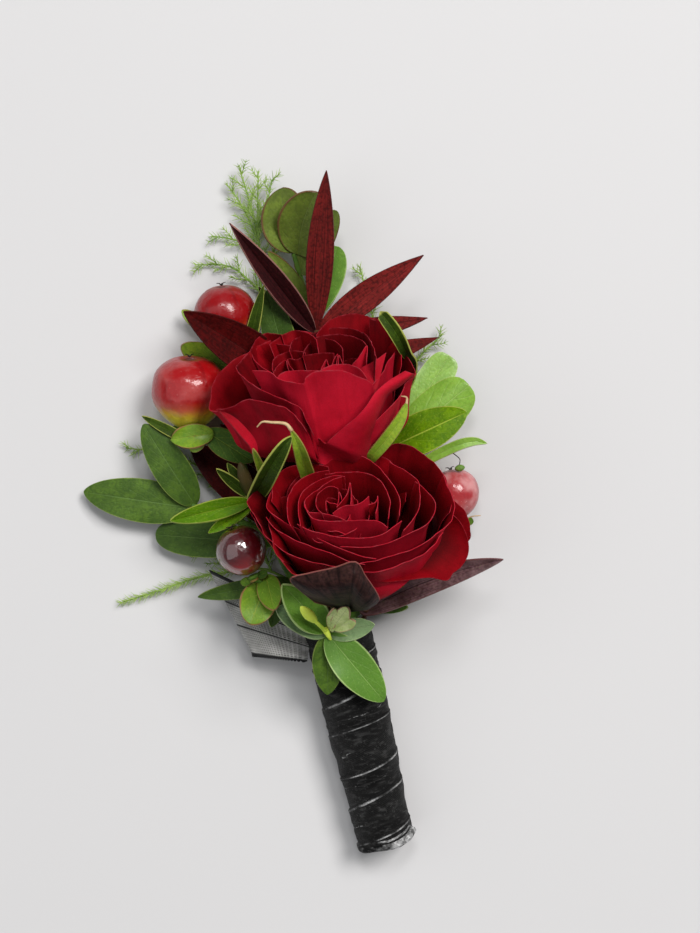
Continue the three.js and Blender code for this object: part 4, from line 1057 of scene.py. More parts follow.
def rimPetal(stand, rim, tone):
    route = smoothRoute(rim, 8)
    spreads = [stand.split(point)[1] for point in route]
    if sum(a.cross(b).dot(stand.axis) for a, b in zip(spreads, spreads[1:])) < 0:
        route.reverse()
    foot = sum(spreads, Vector()).normalized() * rimForm["root"]
    floor, drop, ruffle = petalForm["floor"], rimForm["drop"], rimForm["ruffle"]

    def shape(u, v):
        edge = onRoute(route, (u + 1) / 2)
        level, spread = stand.split(edge)
        lip = past(v, petalForm["lipFrom"]) ** 2
        share = rimForm["belly"] * math.sin(quarter * min(1, v / petalForm["bellyAt"]))
        share += (1 - rimForm["belly"]) * past(v, petalForm["opensFrom"]) ** 1.7
        spread *= 1 + ruffle * 0.2 * noise.noise(edge * 0.5) * smooth((v - 0.5) / 0.4)
        up = floor + (level + drop - floor) * v - drop * lip
        up += ruffle * noise.noise(edge * 0.9 + Vector((0, 0, 9))) * smooth(past(v, 0.5))
        return stand.base + foot.lerp(spread, share) + stand.axis * up

    return blade(shape, petalForm["wideGrid"], petalForm["thickness"], petalFaces, tone)


def turnedMargin(margin):
    foot, rim = smoothRoute(margin["foot"], 8), smoothRoute(margin["rim"], 8)

    def shape(u, v):
        part = (u + 1) / 2
        return onRoute(foot, part).lerp(onRoute(rim, part), v) + Vector(margin["bulge"]) * 4 * v * (1 - v)

    sides = petalFaces[::-1] if margin.get("inside") else petalFaces
    return blade(shape, petalForm["wideGrid"], petalForm["thickness"], sides, margin.get("tone", 0.3))


def innerPetals(rose, stand, draw):
    spiral = rose["spiral"]
    for number in range(spiral["count"]):
        part = number / (spiral["count"] - 1)
        rim = between((spiral["inner"], spiral["outer"]), part ** 0.9)
        azimuth = spiral["first"] + spiralForm["turn"] * number
        towards = (1 + math.cos(math.radians(azimuth))) / 2
        fall = (spiral["fall"] + spiral["frontFall"] * towards) * part ** 2
        form = {
            "azimuth": azimuth,
            "span": between(spiralForm["span"], part ** 0.6),
            "root": between(spiralForm["root"], part),
            "belly": rim * between(spiralForm["belly"], part) + spiral["furl"] * (1 - part) ** 2,
            "rim": rim,
            "height": spiral["height"] - fall + draw.uniform(*spiralForm["heights"]),
            "peak": spiral["peak"] * draw.uniform(*spiralForm["peaks"]) * (1 - 0.5 * part),
            "curl": between(spiralForm["curl"], part),
            "ruffle": between(spiralForm["ruffle"], part),
            "phase": draw.uniform(0, 6.28),
        }
        yield petal(stand, form, draw.random())


def outerPetals(rose, draw):
    for own in rose["outerPetals"]:
        tone = 0.5 * draw.random()
        form = {"phase": draw.uniform(0, 6.28), **rose["wide"], **own}
        yield petal(rose["stand"], form, tone)


def roseBloom(name, rose):
    draw = random.Random(rose["seed"])
    core = rose.get("coreStand", rose["stand"])
    profile = [*coreProfile, (1.0, rose["core"] * 0.8), (0, rose["core"])]
    pieces = [turned("burgundyLeaf", core, profile)]
    pieces += [*innerPetals(rose, core, draw), *outerPetals(rose, draw)]
    for key, rim in rose["rims"].items():
        # listed tones paint shade on the rim petals; unlisted ones get a random tone
        pieces.append(rimPetal(rose["stand"], rim, rose["shadeTones"].get(key, 0.5 * draw.random())))
    pieces += [turnedMargin(margin) for margin in rose["margins"]]
    if "strip" in rose:
        pieces.append(strap("petalOuterFace", **rose["strip"]))
    return joined(name, pieces)


hipProfile = [
    (0, -4.6), (0.9, -4.5), (2.1, -3.6), (2.7, -2.3), (2.8, -1.5), (2.2, -0.7), (1.5, -0.4), (0, -0.3),
]
sepalForm = {"width": 2.6, "widest": 0.3, "plump": 1.6, "neck": 1.4}


def hip(rose):
    return turned("greenStem", rose["stand"], hipProfile)


def sepalRoot(rose, azimuth):
    return rose["stand"].at(azimuth, 1.8, -1.8)


def spreadSepals(rose, azimuths, radius, level, bow):
    for azimuth in azimuths:
        tip = rose["stand"].at(azimuth, radius, level)
        yield leaf("sepalLeaf", sepalRoot(rose, azimuth), tip, bow=bow, **sepalForm)


def upperRoseStem():
    stand = upperRose["stand"]
    leftSepal = [(-4.4, 27, 17), (-5.4, 29.4, 23), (-6.3, 32.6, 28.6), (-7.5, 35.6, 31.2)]
    leftTip = [
        (-7.4, 35.4, 31.2), (-8.4, 36.5, 31.4), (-10.5, 36.7, 31.4), (-12, 36.8, 31.2), (-12.9, 36, 30.8),
    ]
    rightSepal = [(4.9, 31, 19.8), (7.7, 34.3, 23.2), (9.8, 37.4, 24.4), (10.9, 40.2, 24.6)]
    rightTip = [(10.8, 39.9, 24.6), (10.8, 40.9, 24.7), (9.9, 41.1, 24.6)]
    backSepal = [
        (8.5, 38, 8), (12, 44, 8), (12.4, 47, 13), (11, 48.6, 18), (9.9, 50.4, 20.5), (8.6, 52.4, 21.5),
        (6.6, 55, 21.5),
    ]
    form = {"widest": 0.5, "plump": 1.4}
    return joined("roseUpperStem", [
        stem("greenStem", 0, 0, 1.0, [(0.6, 10, 6.2), stand.at(0, 0, -9), stand.at(0, 0, -3.6)], end=1.1),
        hip(upperRose),
        strap("sepalLeaf", [sepalRoot(upperRose, -45), *leftSepal], 2.5, facing=(0, -0.3, 1), **form),
        tube("dryTip", leftTip, 0.32, 0.35),
        strap("sepalLeaf", [sepalRoot(upperRose, 80), *rightSepal], 2.3, facing=(0, -0.2, 1), **form),
        tube("dryTip", rightTip, 0.25, 0.3),
        strap("darkSepal", [sepalRoot(upperRose, 125), *backSepal], 2.4, tone=0.3, widest=0.82, plump=1.2,
              facing=(-0.3, 0, 1)),
        *spreadSepals(upperRose, [150, 225], 10.5, 1, bow=-1),
    ])


def lowerRoseStem():
    stand = lowerRose["stand"]
    stalk = [(1.9, 4.5, 8.6), stand.at(0, 0, -7), stand.at(0, 0, -3.6)]
    return joined("roseLowerStem", [
        stem("greenStem", 60, handle["ring"], 1.0, stalk, end=1.1),
        hip(lowerRose),
        *spreadSepals(lowerRose, [60, 130, 200, 270], 8.5, -0.5, bow=-0.6),
    ])


addCamera()
addStudio()
print("camera and lamps placed")
settle(roseBloom("roseUpperBloom", upperRose), "rose_upper_petals", "crimson_petal")
settle(roseBloom("roseLowerBloom", lowerRose), "rose_lower_petals", "crimson_petal")
settle(upperRoseStem(), "rose_upper_stem", "rose_green")
settle(lowerRoseStem(), "rose_lower_stem", "rose_green")


# Berries
berries = {
    "berryUpperLeft": {
        "node": "berry_upper_left", "slot": "red_berry", "skin": "berrySkinUpper",
        "centre": (-19.7, 55.7, 5.75), "lean": (-0.1, 0.95, 0.25), "radius": 5.3,
    },
    "berryLeft": {
        "node": "berry_left", "slot": "red_berry", "skin": "berrySkinLeft",
        "centre": (-25.8, 42.4, 6.3), "lean": (0.03, 0.95, 0.3), "radius": 6.4,
        "narrowing": 0.17, "lumps": 0.05,
    },
    "berryLowLeft": {
        "node": "berry_low_left", "slot": "dark_berry", "skin": "berrySkinDark",
        "centre": (-16.3, 15.8, 15), "lean": (-0.4, 0.9, 0.15), "radius": 4.2,
    },
    "berryRight": {
        "node": "berry_right", "slot": "red_berry", "skin": "berrySkinRight",
        "centre": (19.8, 25.1, 4.2), "lean": (-0.17, 0.97, 0.1), "radius": 4.3,
    },
}


berryForm = {
    "narrowing": 0.06, "lumps": 0.03, "rings": 24, "sides": (48, 30), "dimple": 0.12, "dimpleWidth": 0.16,
    "styleTurns": (10, 130, 250), "style": [(0.15, -0.05), (0.35, 0.3), (0.9, 0.35)], "styleRadius": 0.13,
}
cupForm = {
    "profile": [(0, -1.25), (0.7, -1.2), (0.9, -0.9), (1.1, -0.4), (0.9, -0.3), (0, -0.32)],
    "sepalRoot": (0.4, -0.9), "droop": 0.35, "share": 0.6,
}


def berryFoot(spec):
    axis = Vector(spec["lean"]).normalized()
    return Stand(Vector(spec["centre"]) - axis * spec["radius"], axis)


def berryProfile(spec):
    profile = []
    for ring in range(spec["rings"] + 1):
        angle = math.pi * ring / spec["rings"]
        level = 1 - math.cos(angle)
        if angle > quarter:
            level -= spec["dimple"] * math.exp(-(math.sin(angle) / spec["dimpleWidth"]) ** 2)
        width = math.sin(angle) * (1 - spec["narrowing"] * math.cos(angle))
        profile.append((spec["radius"] * width, spec["radius"] * level))
    return profile


def berry(name, own):
    spec = berryForm | own
    stand = berryFoot(spec)
    pieces = [turned(spec["skin"], stand, berryProfile(spec), *spec["sides"], spec["lumps"])]
    for turn in spec["styleTurns"]:          # the dried styles, folded over the tip
        style = [stand.at(turn, out, 2 * spec["radius"] + up) for out, up in spec["style"]]
        pieces.append(tube("blackStyle", style, spec["styleRadius"], 0.4, 2, 1))
    whole = joined(name, pieces)
    for vertex in whole.data.vertices:
        vertex.co.z = max(vertex.co.z, 0)
    settle(whole, spec["node"], spec["slot"])


for name, spec in berries.items():
    berry(name, spec)


def berryCup(spec, count, length, first=0, **form):
    stand = berryFoot(spec)
    pieces = [turned("greenStem", stand, cupForm["profile"], 12, 8)]
    form = {"widest": 0.55, "plump": 1, "fold": 0, **form}
    for number in range(count):
        azimuth = first + 360 / count * number
        base = stand.at(azimuth, *cupForm["sepalRoot"])
        tip = stand.at(azimuth, length, -cupForm["droop"] * length)
        pieces.append(leaf("mottledSepal", base, tip, length * cupForm["share"], **form))
    return pieces


def twigEnd(spec):
    return berryFoot(spec).at(0, 0, -0.9)


# Hypericum sprigs
def hypericumLeft():
    upper, left = berries["berryUpperLeft"], berries["berryLeft"]
    stalk = [(-5.5, 5.5, 5), (-10, 14, 4.4), (-15, 24, 4.6), (-17.5, 33, 4.4)]
    return joined("hypericumLeft", [
        stem("greenStem", 180, handle["ring"], 0.9, stalk),
        tube("greenStem", [(-17, 31, 4.4), (-20.5, 34, 4.2), twigEnd(left)], 0.6),
        tube("greenStem", [(-17.3, 32, 4.4), (-16.6, 40, 2.8), (-17.2, 47, 3.4), twigEnd(upper)], 0.6),
        tube("greenStem", [(-12, 18, 4.4), (-19, 21, 4.6), (-25.5, 23, 4.4)], 0.6),
        leaf("ovalLeaf", (-25, 23.2, 4.4), (-33.5, 37, 7.5), 6.4, bow=1, plump=1.1, cup=-0.12),
        leaf("ovalLeaf", (-25, 22.6, 4), (-44.5, 25.4, 2), 7.6, bow=1.2, plump=1.15, cup=-0.1),
        leaf("ovalLeaf", (-11.4, 16.5, 4.2), (-32, 18, 2.4), 6.7, widest=0.62, bow=1, plump=1.15),
        leaf("mottledSepal", (-22.8, 35.8, 8.6), (-14.6, 30.6, 10), 4.8, bow=0.5, tone=0.9),
        leaf("brightBract", (-21.4, 35.4, 9.6), (-28.7, 34.4, 8.8), 4.2, bow=0.7, cup=0.1, wave=0.5),
        leaf("brightBract", (-23.2, 35, 9.7), (-25.2, 32.4, 9), 2.6, bow=0.3, plump=1, tone=0.1),
        leaf("darkSepal", (-24.8, 33.6, 7), (-33.8, 38.4, 7.6), 1.8, bow=0.8),
        leaf("brightBract", (-17.5, 46, 3), (-27.4, 50.6, 4.4), 5, bow=-0.6, plump=1),
        leaf("sepalLeaf", (-23.4, 53.8, 3), (-27.4, 56.8, 3.6), 2.4),
        leaf("ovalLeaf", (-8.8, 46, 3), (-12.6, 60, 6.5), 5.6, tone=1),
        leaf("darkSepal", (-16.9, 45.2, 3.2), (-12.8, 60.4, 11.4), 2.3, bow=1.3),
        *berryCup(left, 5, 4.4, 20, wave=0.3),
        *berryCup(upper, 4, 2.6, 10),
    ])


def hypericumFront():
    low = berries["berryLowLeft"]
    stalk = [(-3.6, 5, 8.2), (-7.5, 10, 9.6), (-11, 17, 10), (-15, 24.5, 11.8)]
    tallLeaf = [(-14.9, 24.4, 12), (-13.4, 26, 20), (-11.4, 29, 27), (-9, 32.6, 30.8), (-7.4, 34.6, 31)]
    thinLeaf = [(-14.6, 24.6, 12), (-12.4, 27, 17), (-12.6, 29, 21), (-13.7, 32.6, 27)]
    return joined("hypericumFront", [
        stem("greenStem", 120, handle["ring"], 0.8, stalk),
        tube("greenStem", [(-7, 9.4, 9.4), (-11, 9.5, 11.6), twigEnd(low)], 0.5),
        leaf("brightBract", (-12.6, 10, 12.4), (-14.8, 3.6, 15.4), 6.2, plump=0.9, cup=0.15, tone=0.7,
             wave=0.3),
        leaf("brightBract", (-12.4, 11.6, 12.8), (-10.8, 6.1, 17), 4.2, plump=1, tone=0.9),
        leaf("ovalLeaf", (-9.5, 9.5, 10.8), (-11.6, 2.6, 10), 3.0),
        leaf("ovalLeaf", (-8, 10.6, 9.7), (-24.3, 7.5, 7), 3.2, bow=0.8),
        leaf("limeLeaf", (-14.8, 24, 11.8), (-28.4, 20.7, 13), 3.9, bow=0.8, fold=30, tone=1),
        leaf("limeLeaf", (-14.6, 23.4, 11.6), (-22.1, 18.6, 12), 2.6, fold=30, tone=0.6),
        leaf("darkSepal", (-15, 24.6, 12), (-20.4, 29.4, 16.5), 1.9),
        leaf("darkSepal", (-15, 24.6, 12.4), (-18.8, 30.4, 13.4), 2.0),
        strap("darkSepal", tallLeaf, 3.8, fold=30, facing=(0.2, -0.3, 1)),
        strap("sepalLeaf", thinLeaf, 1.5, tone=0, widest=0.6),
        bud("brownBud", (-15, 24.4, 12), (-16.6, 30.6, 15), 1.2),
        *berryCup(low, 4, 2.4),
    ])


def hypericumRight():
    right = berries["berryRight"]
    stalk = [(4, 6, 5), (7, 14, 4.4), (8.5, 24, 4.6), (8.6, 33, 6)]
    longLeaf = [(8.6, 26, 5), (13, 29.8, 9.6), (19, 33, 11.5), (22.4, 34, 11.8), (24.8, 33.7, 11.5)]
    return joined("hypericumRight", [
        stem("greenStem", 0, handle["ring"], 0.9, stalk),
        tube("greenStem", [(7.6, 17, 4.4), (14, 18.6, 3.6), twigEnd(right)], 0.5),
        leaf("limeLeaf", (8.4, 33, 6.4), (21.4, 39, 11), 7.2, bow=1.2, plump=1.1, fold=12),
        leaf("paleLeaf", (8.6, 32.5, 5.8), (22, 43.6, 7.4), 8.2, widest=0.6, plump=0.8, cup=-0.35, fold=0,
             tone=0.3),
        leaf("paleLeaf", (8.4, 32.6, 5.4), (18.8, 48.8, 5), 6, widest=0.68, plump=0.7, cup=-0.1, tone=0.1),
        leaf("ovalLeaf", (8.2, 31.5, 6.2), (10.5, 41.5, 9.4), 3.4),
        strap("paleLeaf", longLeaf, 1.9, widest=0.5, plump=1.5),
        bud("fernStalk", (19.6, 29.4, 6.6), (21.4, 29.7, 6.9), 0.62),
        tube("blackStyle", [(18.8, 32.4, 6.8), (19.7, 31.8, 7), (20.5, 31, 7), (20.4, 30, 6.8)], 0.1, 0.7),
        tube("dryTip", [(17, 19.4, 8), (20.4, 20.6, 12), (22, 21.4, 13), (23.6, 21.6, 13.2)], 0.16, 0.5),
        leaf("ovalLeaf", (4.2, 6.4, 5.4), (11.6, 5.8, 8), 3),
        *berryCup(right, 4, 2.4),
    ])


settle(hypericumLeft(), "hypericum_left", "green_leaf")
settle(hypericumFront(), "hypericum_front", "green_leaf")
settle(hypericumRight(), "hypericum_right", "pale_leaf")


# Burgundy sprigs
redForm = {"widest": 0.42, "plump": 1.7, "wave": 0.12}


def leucadendronTop():
    stalk = [(-2.6, 6, 3.2), (-4, 15, 2.2), (-5, 28, 1.6), (-5.2, 40, 1.6), (-4.5, 48, 2.2), (-4, 53.5, 3.9)]

    def red(base, tip, width, finish="burgundyLeaf", **form):
        return leaf(finish, base, tip, width, **{**redForm, **form})

    return joined("leucadendronTop", [
        stem("redStem", 240, handle["ring"], 0.9, stalk),
        red((-4.2, 53, 4), (-2.4, 78, 17), 4.7, tone=0.5, bow=0.4, widest=0.48, hook=(0.2, 0.6, 0.4)),
        red((-4.2, 52.8, 3.8), (-18.4, 70.4, 14), 4.8, tone=0.5, fold=34, bow=0.6, finish="foldedRedLeaf"),
        red((-3.8, 53, 4), (14, 65.2, 13), 5.0, tone=0, bow=0.6),
        red((-3.8, 52, 4), (15, 55.2, 6.6), 3.8, tone=0.4, bow=-0.4),
        red((-4.8, 45, 2.4), (17, 52, 5.6), 4.4, tone=0.5),
        red((-5.4, 43, 2), (-26, 55.6, 14.4), 8, "wineLeaf", tone=0.2, fold=18, widest=0.5),
        red((-4.4, 49, 3), (-14, 60.6, 5.4), 5.4, "wineLeaf", tone=1),
        red((-4.6, 46, 2.2), (-11, 56.4, 3), 5, "wineLeaf", tone=1),
        red((-4.2, 16, 2.4), (-26, 33.6, 3.6), 7.6, "wineLeaf", tone=0.6, bow=-0.7, widest=0.55),
        red((-5, 27, 1.8), (-20.5, 37, 7), 6.6, "wineLeaf", tone=0.8, bow=1),
    ])


brownLeaf = {
    "foot": (1.6, 5.6, 13), "start": 0.04, "dome": 9.5, "hollow": 1.2, "hollowAt": 0.3, "hollowWidth": 0.16,
    "ripple": 0.35, "grid": (36, 20),
    "rim": [
        (-4, 7.8, 22), (-7.6, 12.2, 33), (-5, 13.2, 35), (-0.8, 14.2, 36.4), (2.5, 15.2, 37.2), (4, 13, 36),
        (5.8, 10.2, 33), (6.2, 8.6, 29), (4.6, 6.4, 20),
    ],
}


def broadBrownLeaf():
    rim = smoothRoute(brownLeaf["rim"], 8)
    foot = Vector(brownLeaf["foot"])

    def shape(u, v):
        edge = onRoute(rim, (u + 1) / 2)
        place = foot.lerp(edge, between((brownLeaf["start"], 1), v))
        fromHollow = (v - brownLeaf["hollowAt"]) / brownLeaf["hollowWidth"]
        hollow = brownLeaf["hollow"] * math.exp(-fromHollow ** 2)
        place.z += (brownLeaf["dome"] * 4 * v * (1 - v) - hollow) * (1 - abs(u) ** 3)
        place.z += brownLeaf["ripple"] * math.sin(9 * u + 2 * v) * v
        return place

    return blade(shape, brownLeaf["grid"], leafGrid["thickness"], [finishes["brownLeaf"]])


def leucadendronFront():
    stalk = [(3.6, 3.6, 8.2), (4.4, 5, 10.8), (4.5, 6.8, 13.3)]
    return joined("leucadendronFront", [
        stem("redStem", 30, handle["pocketRing"], 0.3, stalk, 1.6),
        leaf("purpleLeaf", (3.4, 5.2, 11.4), (27.4, 14.2, 13), 5.2, fold=30, bow=-0.8, sway=-0.9, widest=0.4,
             tone=0.1),
        broadBrownLeaf(),
    ])


settle(leucadendronTop(), "leucadendron_top", "burgundy_leaf")
settle(leucadendronFront(), "leucadendron_front", "burgundy_leaf")


# Green sprigs at the top and over the binding
def leafyTop():
    stalk = [
        (1.2, 6, 3), (2.6, 15, 1.8), (3, 28, 1.2), (1.5, 40, 1.2), (-1.5, 49, 1.3), (-5, 57, 2.4),
        (-8, 66.4, 5.4),
    ]
    left, right = (-9.8, 77.2, 8.4), (-3.9, 76.1, 10.8)          # tips of the two round leaves at the end
    rounded = {"cup": 0.15, "sway": -0.8}
    return joined("leafyTop", [
        stem("greenStem", 300, handle["ring"], 0.8, stalk, 0.5),
        leaf("oliveLeaf", (-7.5, 66.6, 5), left, 8.2, widest=0.48, plump=0.95, tone=0.1, **rounded),
        leaf("oliveLeaf", (-7.1, 66.2, 5.4), right, 8.4, widest=0.5, plump=0.75, tone=0.4, **rounded),
        leaf("oliveLeaf", (-7, 63, 4.4), (-0.6, 73.6, 6.6), 5.2, plump=0.9),
        leaf("freshLeaf", (-4.6, 55.4, 2.8), (-0.4, 67.6, 5.6), 5.8, widest=0.6, plump=1.15, tone=0.1),
        leaf("oliveLeaf", (-4.8, 55, 3), (-12.3, 66.6, 7), 3.7, sway=0.5, tone=0),
        leaf("limeLeaf", (-2.6, 54, 4.6), (5.2, 57.9, 7.6), 4.2),
    ])


def leafyFront():
    stalk = [(-0.8, 4.2, 10.6), (-1.6, 4, 13.2), (-2, 2, 15)]
    return joined("leafyFront", [
        stem("greenStem", 90, handle["pocketRing"], 0.3, stalk, 2.0),
        bud("limeBud", (-2, 2, 14.1), (-2, 2, 16), 0.9),
        leaf("freshLeaf", (-2, 2.4, 15), (-9.4, 10.4, 18.4), 5.8, cup=0.35, tone=0),
        leaf("sageLeaf", (-2, 1.8, 14.8), (-10.6, 6.2, 14.2), 5.2, cup=0.2, sway=0.5, tone=0.6),
        leaf("sageLeaf", (-2, 2, 15), (5.8, 3.6, 16), 3.8, tone=0),
        leaf("freshLeaf", (-2, 2, 15), (7.4, -9.4, 13.4), 6.6, bow=0.8, plump=1.15),
        leaf("ovalLeaf", (-2, 2, 14.6), (-2, -8.4, 12.4), 5.2, bow=0.4, tone=0.3),
        leaf("paleBract", (-1.4, 2.6, 16), (1.4, 7, 23), 2.6, widest=0.6, cup=-0.3, tone=0, wave=0.5),
        leaf("paleBract", (-1.2, 3, 16), (2.6, 4.6, 21), 2.2, widest=0.5, cup=-0.3, tone=0.2, wave=0.4),
        leaf("paleBract", (-1.6, 3, 16), (-0.8, 6.8, 22), 1.8, widest=0.5, tone=0.1, wave=0.4),
        tube("limeBud", [(-2.5, 3, 15.8), (-1.9, 1.9, 16.1), (-1.5, 1.1, 15.6)], 0.6, 0.4),
        tube("limeBud", [(-2.2, 2.4, 15.8), (-3, 3.4, 18), (-3.9, 4.4, 19.3)], 0.35, 0.9),
        bud("limeBud", (-3.7, 4.2, 19), (-6.4, 7, 20.7), 0.95),
    ])


settle(leafyTop(), "leafy_top", "olive_leaf")
settle(leafyFront(), "leafy_front", "green_leaf")


# Asparagus fern: whorls of fine needles on twiglets along every branch
fern = {
    "needle": 3.2, "needleRadius": 0.085, "tipRadius": 0.02, "whorl": 3, "whorlGap": 0.66, "lean": (28, 58),
    "lengths": (0.65, 1.1), "shorter": 0.45, "floor": 0.12, "branchRadius": 0.2, "branchShare": 0.75,
    "twiglet": 3.8, "twiglets": (0.8, 1.1), "twigletShorter": 0.55, "twigletRadius": 0.1, "twigletGap": 2.2,
    "twigletShare": 0.58, "forward": 0.75, "sideways": 0.65, "lift": 0.25, "arch": 0.15, "bend": 0.12,
}


def needlePrototype():
    deselect()
    bpy.ops.mesh.primitive_cone_add(vertices=4, radius1=fern["needleRadius"], radius2=fern["tipRadius"],
                                    depth=1, location=(0, 0, 0.5))
    piece = bpy.context.object
    bpy.ops.object.transform_apply(location=True, rotation=True, scale=True)
    corners = [vertex.co.copy() for vertex in piece.data.vertices]
    faces = [list(face.vertices) for face in piece.data.polygons]
    bpy.data.objects.remove(piece)
    return corners, faces


# Places along a branch, each with the branch's direction there and the share of it that is done
def stations(route, steps, first, gap, draw):
    walk = smoothRoute(route, steps)
    total = sum((b - a).length for a, b in zip(walk, walk[1:]))
    travelled, due = 0.0, first
    for a, b in zip(walk, walk[1:]):
        piece = (b - a).length
        while due < travelled + piece:
            yield a.lerp(b, (due - travelled) / piece), (b - a).normalized(), due / total
            due += gap * draw.uniform(0.8, 1.2)
        travelled += piece


def needles(routes, seed):
    draw = random.Random(seed)
    corners, faces = needlePrototype()
    points, polygons = [], []
    for route, length in routes:
        for spot, along, done in stations(route, 6, 0.3, fern["whorlGap"], draw):
            across = along.cross(straightUp).normalized()
            over = across.cross(along)
            first = draw.uniform(0, 360)
            for number in range(fern["whorl"]):
                angle = math.radians(first + 360 / fern["whorl"] * number + draw.uniform(-20, 20))
                outward = across * math.cos(angle) + over * math.sin(angle)
                lean = math.radians(draw.uniform(*fern["lean"]))
                aim = along * math.cos(lean) + outward * math.sin(lean)
                size = length * draw.uniform(*fern["lengths"]) * (1 - fern["shorter"] * done)
                turn = aim.to_track_quat("Z", "Y").to_matrix()
                start = len(points)
                for corner in corners:
                    place = spot + turn @ Vector((corner.x, corner.y, corner.z * size))
                    place.z = max(fern["floor"], place.z)
                    points.append(place * mm)
                polygons.extend([start + index for index in face] for face in faces)
    mesh = bpy.data.meshes.new("needles")
    mesh.from_pydata(points, [], polygons)
    mesh.materials.append(finishes["fernNeedle"])
    piece = bpy.data.objects.new("needles", mesh)
    bpy.context.scene.collection.objects.link(piece)
    paint(piece, "tone", 0.5)
    return piece


def twiglets(branch, draw):
    hand = 1
    for spot, along, done in stations(branch, 8, 1.2, fern["twigletGap"], draw):
        across = along.cross(straightUp).normalized() * hand
        size = fern["twiglet"] * (1 - fern["twigletShorter"] * done) * draw.uniform(*fern["twiglets"])
        lift = straightUp * draw.uniform(0, fern["lift"])
        aim = (along * fern["forward"] + across * fern["sideways"] + lift).normalized()
        middle = spot + aim * size * 0.5 + straightUp * fern["arch"]
        yield [spot, middle, spot + aim * size + along * size * fern["bend"]]
        hand = -hand


def fernSpray(name, stalk, branches, seed, plain=()):          # a plain branch has needles and no twiglets
    draw = random.Random(seed)
    pieces = [stalk]
    routes = []
    for number, branch in enumerate(branches):
        pieces.append(tube("fernStalk", branch, fern["branchRadius"], 0.45, 4, 1))
        routes += [(branch, fern["needle"] * fern["branchShare"])] * (2 if number in plain else 1)
        if number in plain:
            continue
        for twiglet in twiglets(branch, draw):
            pieces.append(tube("fernStalk", twiglet, fern["twigletRadius"], 0.5, 3, 0))
            routes.append((twiglet, fern["needle"] * fern["twigletShare"]))
    pieces.append(needles(routes, seed + 1))
    return joined(name, pieces)


def fernTop():
    stalk = stem("fernStalk", 210, handle["pocketRing"], 0.3, [
        (-4, 4, 3), (-8, 14, 1.6), (-10, 28, 1), (-10.5, 42, 1), (-13.5, 58, 1.2), (-14.2, 68, 1.8),
    ])
    return fernSpray("fernTop", stalk, [
        [(-13.9, 65, 1.6), (-14.3, 73, 2.2), (-14.2, 81, 3)],
        [(-14.2, 70, 2), (-15.8, 76, 2.4), (-17.6, 82, 3)],
        [(-14.2, 69, 2), (-17, 75, 1.8), (-19.8, 79, 2)],
        [(-14.2, 70, 2), (-12.8, 75, 2.4), (-11.8, 79.5, 2.8)],
        [(-14, 66, 1.6), (-17.5, 69, 1.4), (-22.4, 70, 1.2)],
        [(-13.6, 60, 1.3), (-19, 64.6, 1), (-25.4, 65, 1)],
        [(-13.4, 62, 1.3), (-11.6, 67, 2), (-11, 71, 2.4)],
    ], 31)


def fernLeft():
    stalk = stem("fernStalk", 270, handle["pocketRing"], 0.3, [
        (-2, 4, 1.4), (-7, 8.6, 0.7), (-13, 11.8, 0.9), (-19, 11.6, 1.6),
    ])
    return fernSpray("fernLeft", stalk, [
        [(-18, 11.7, 1.5), (-25, 10.4, 1.4), (-32, 8, 1.1), (-38.4, 6, 1)],
        [(-17, 11.7, 1.4), (-21, 14, 1.2), (-25, 15, 0.9)],
        [(-12, 11.6, 0.9), (-18, 24, 0.8), (-28, 31.6, 0.8), (-37.4, 33, 0.8)],
    ], 41, plain=(0,))


def fernRight():
    stalk = stem("fernStalk", 330, handle["pocketRing"], 0.3, [
        (3, 5, 2.6), (6, 14, 1), (7, 30, 0.8), (7, 42, 0.8),
    ])
    return fernSpray("fernRight", stalk, [
        [(7, 41, 0.8), (6, 54, 1), (3.4, 64.6, 1.6)],
        [(7, 40, 0.8), (12, 47, 1), (17.6, 52.6, 2)],
    ], 51)


settle(fernTop(), "fern_top", "fern_needle")
settle(fernLeft(), "fern_left", "fern_needle")
settle(fernRight(), "fern_right", "fern_needle")


# Ribbon wound round the handle
wrap = {
    "top": -2, "bottom": 35.5, "radius": 5.55, "taper": 0.85, "taperStart": 8, "turn": 6.2, "ridge": 0.3,
    "sides": 96, "rowsPerTurn": 22, "wall": 0.35, "wrinkle": 0.22, "uneven": 0.8, "unevenEnd": 33,
    "ragged": 0.25, "around": 1.6, "raggedPitch": (1.4, 3), "creasePitch": (5, 7), "sway": 0.62,
    "rolls": [{
        "radius": 0.5, "end": 1.5,
        "route": [
            (175, 4.6, 35), (150, 4.7, 35.7), (110, 4.5, 35.5), (70, 4.6, 35.6), (35, 4.8, 35.1),
            (12, 5, 34.4),
        ],
    }, {
        "radius": 0.22, "end": 0.8,
        "route": [(120, 4.8, 34.3), (85, 5, 34.6), (50, 5, 34.1), (25, 5.1, 33.4)],
    }],
    "rollGlint": (0.018, 0.012),
    "end": [(0, -0.7), (4.2, -0.7), (4.75, -0.3), (4.6, 0.05), (3, 0.3), (1.2, 0.05), (0, 0.15)],
    "endAt": 35.2, "endSides": (48, 24), "endLumps": 0.06, "endLap": 0.3,
    "pleat": 0.18, "pleatPitch": 1.3, "pleatSlant": 0.4,
}


def wrapRadius(along):
    done = (along - wrap["taperStart"]) / (wrap["bottom"] - wrap["taperStart"])
    return wrap["radius"] - wrap["taper"] * smooth(done)


def wrapSpot(angle, phase, row, pitch, shift):
    around = wrap["around"]
    along = phase * pitch + shift * math.floor(row)
    return Vector((math.cos(angle) * around, math.sin(angle) * around, along))


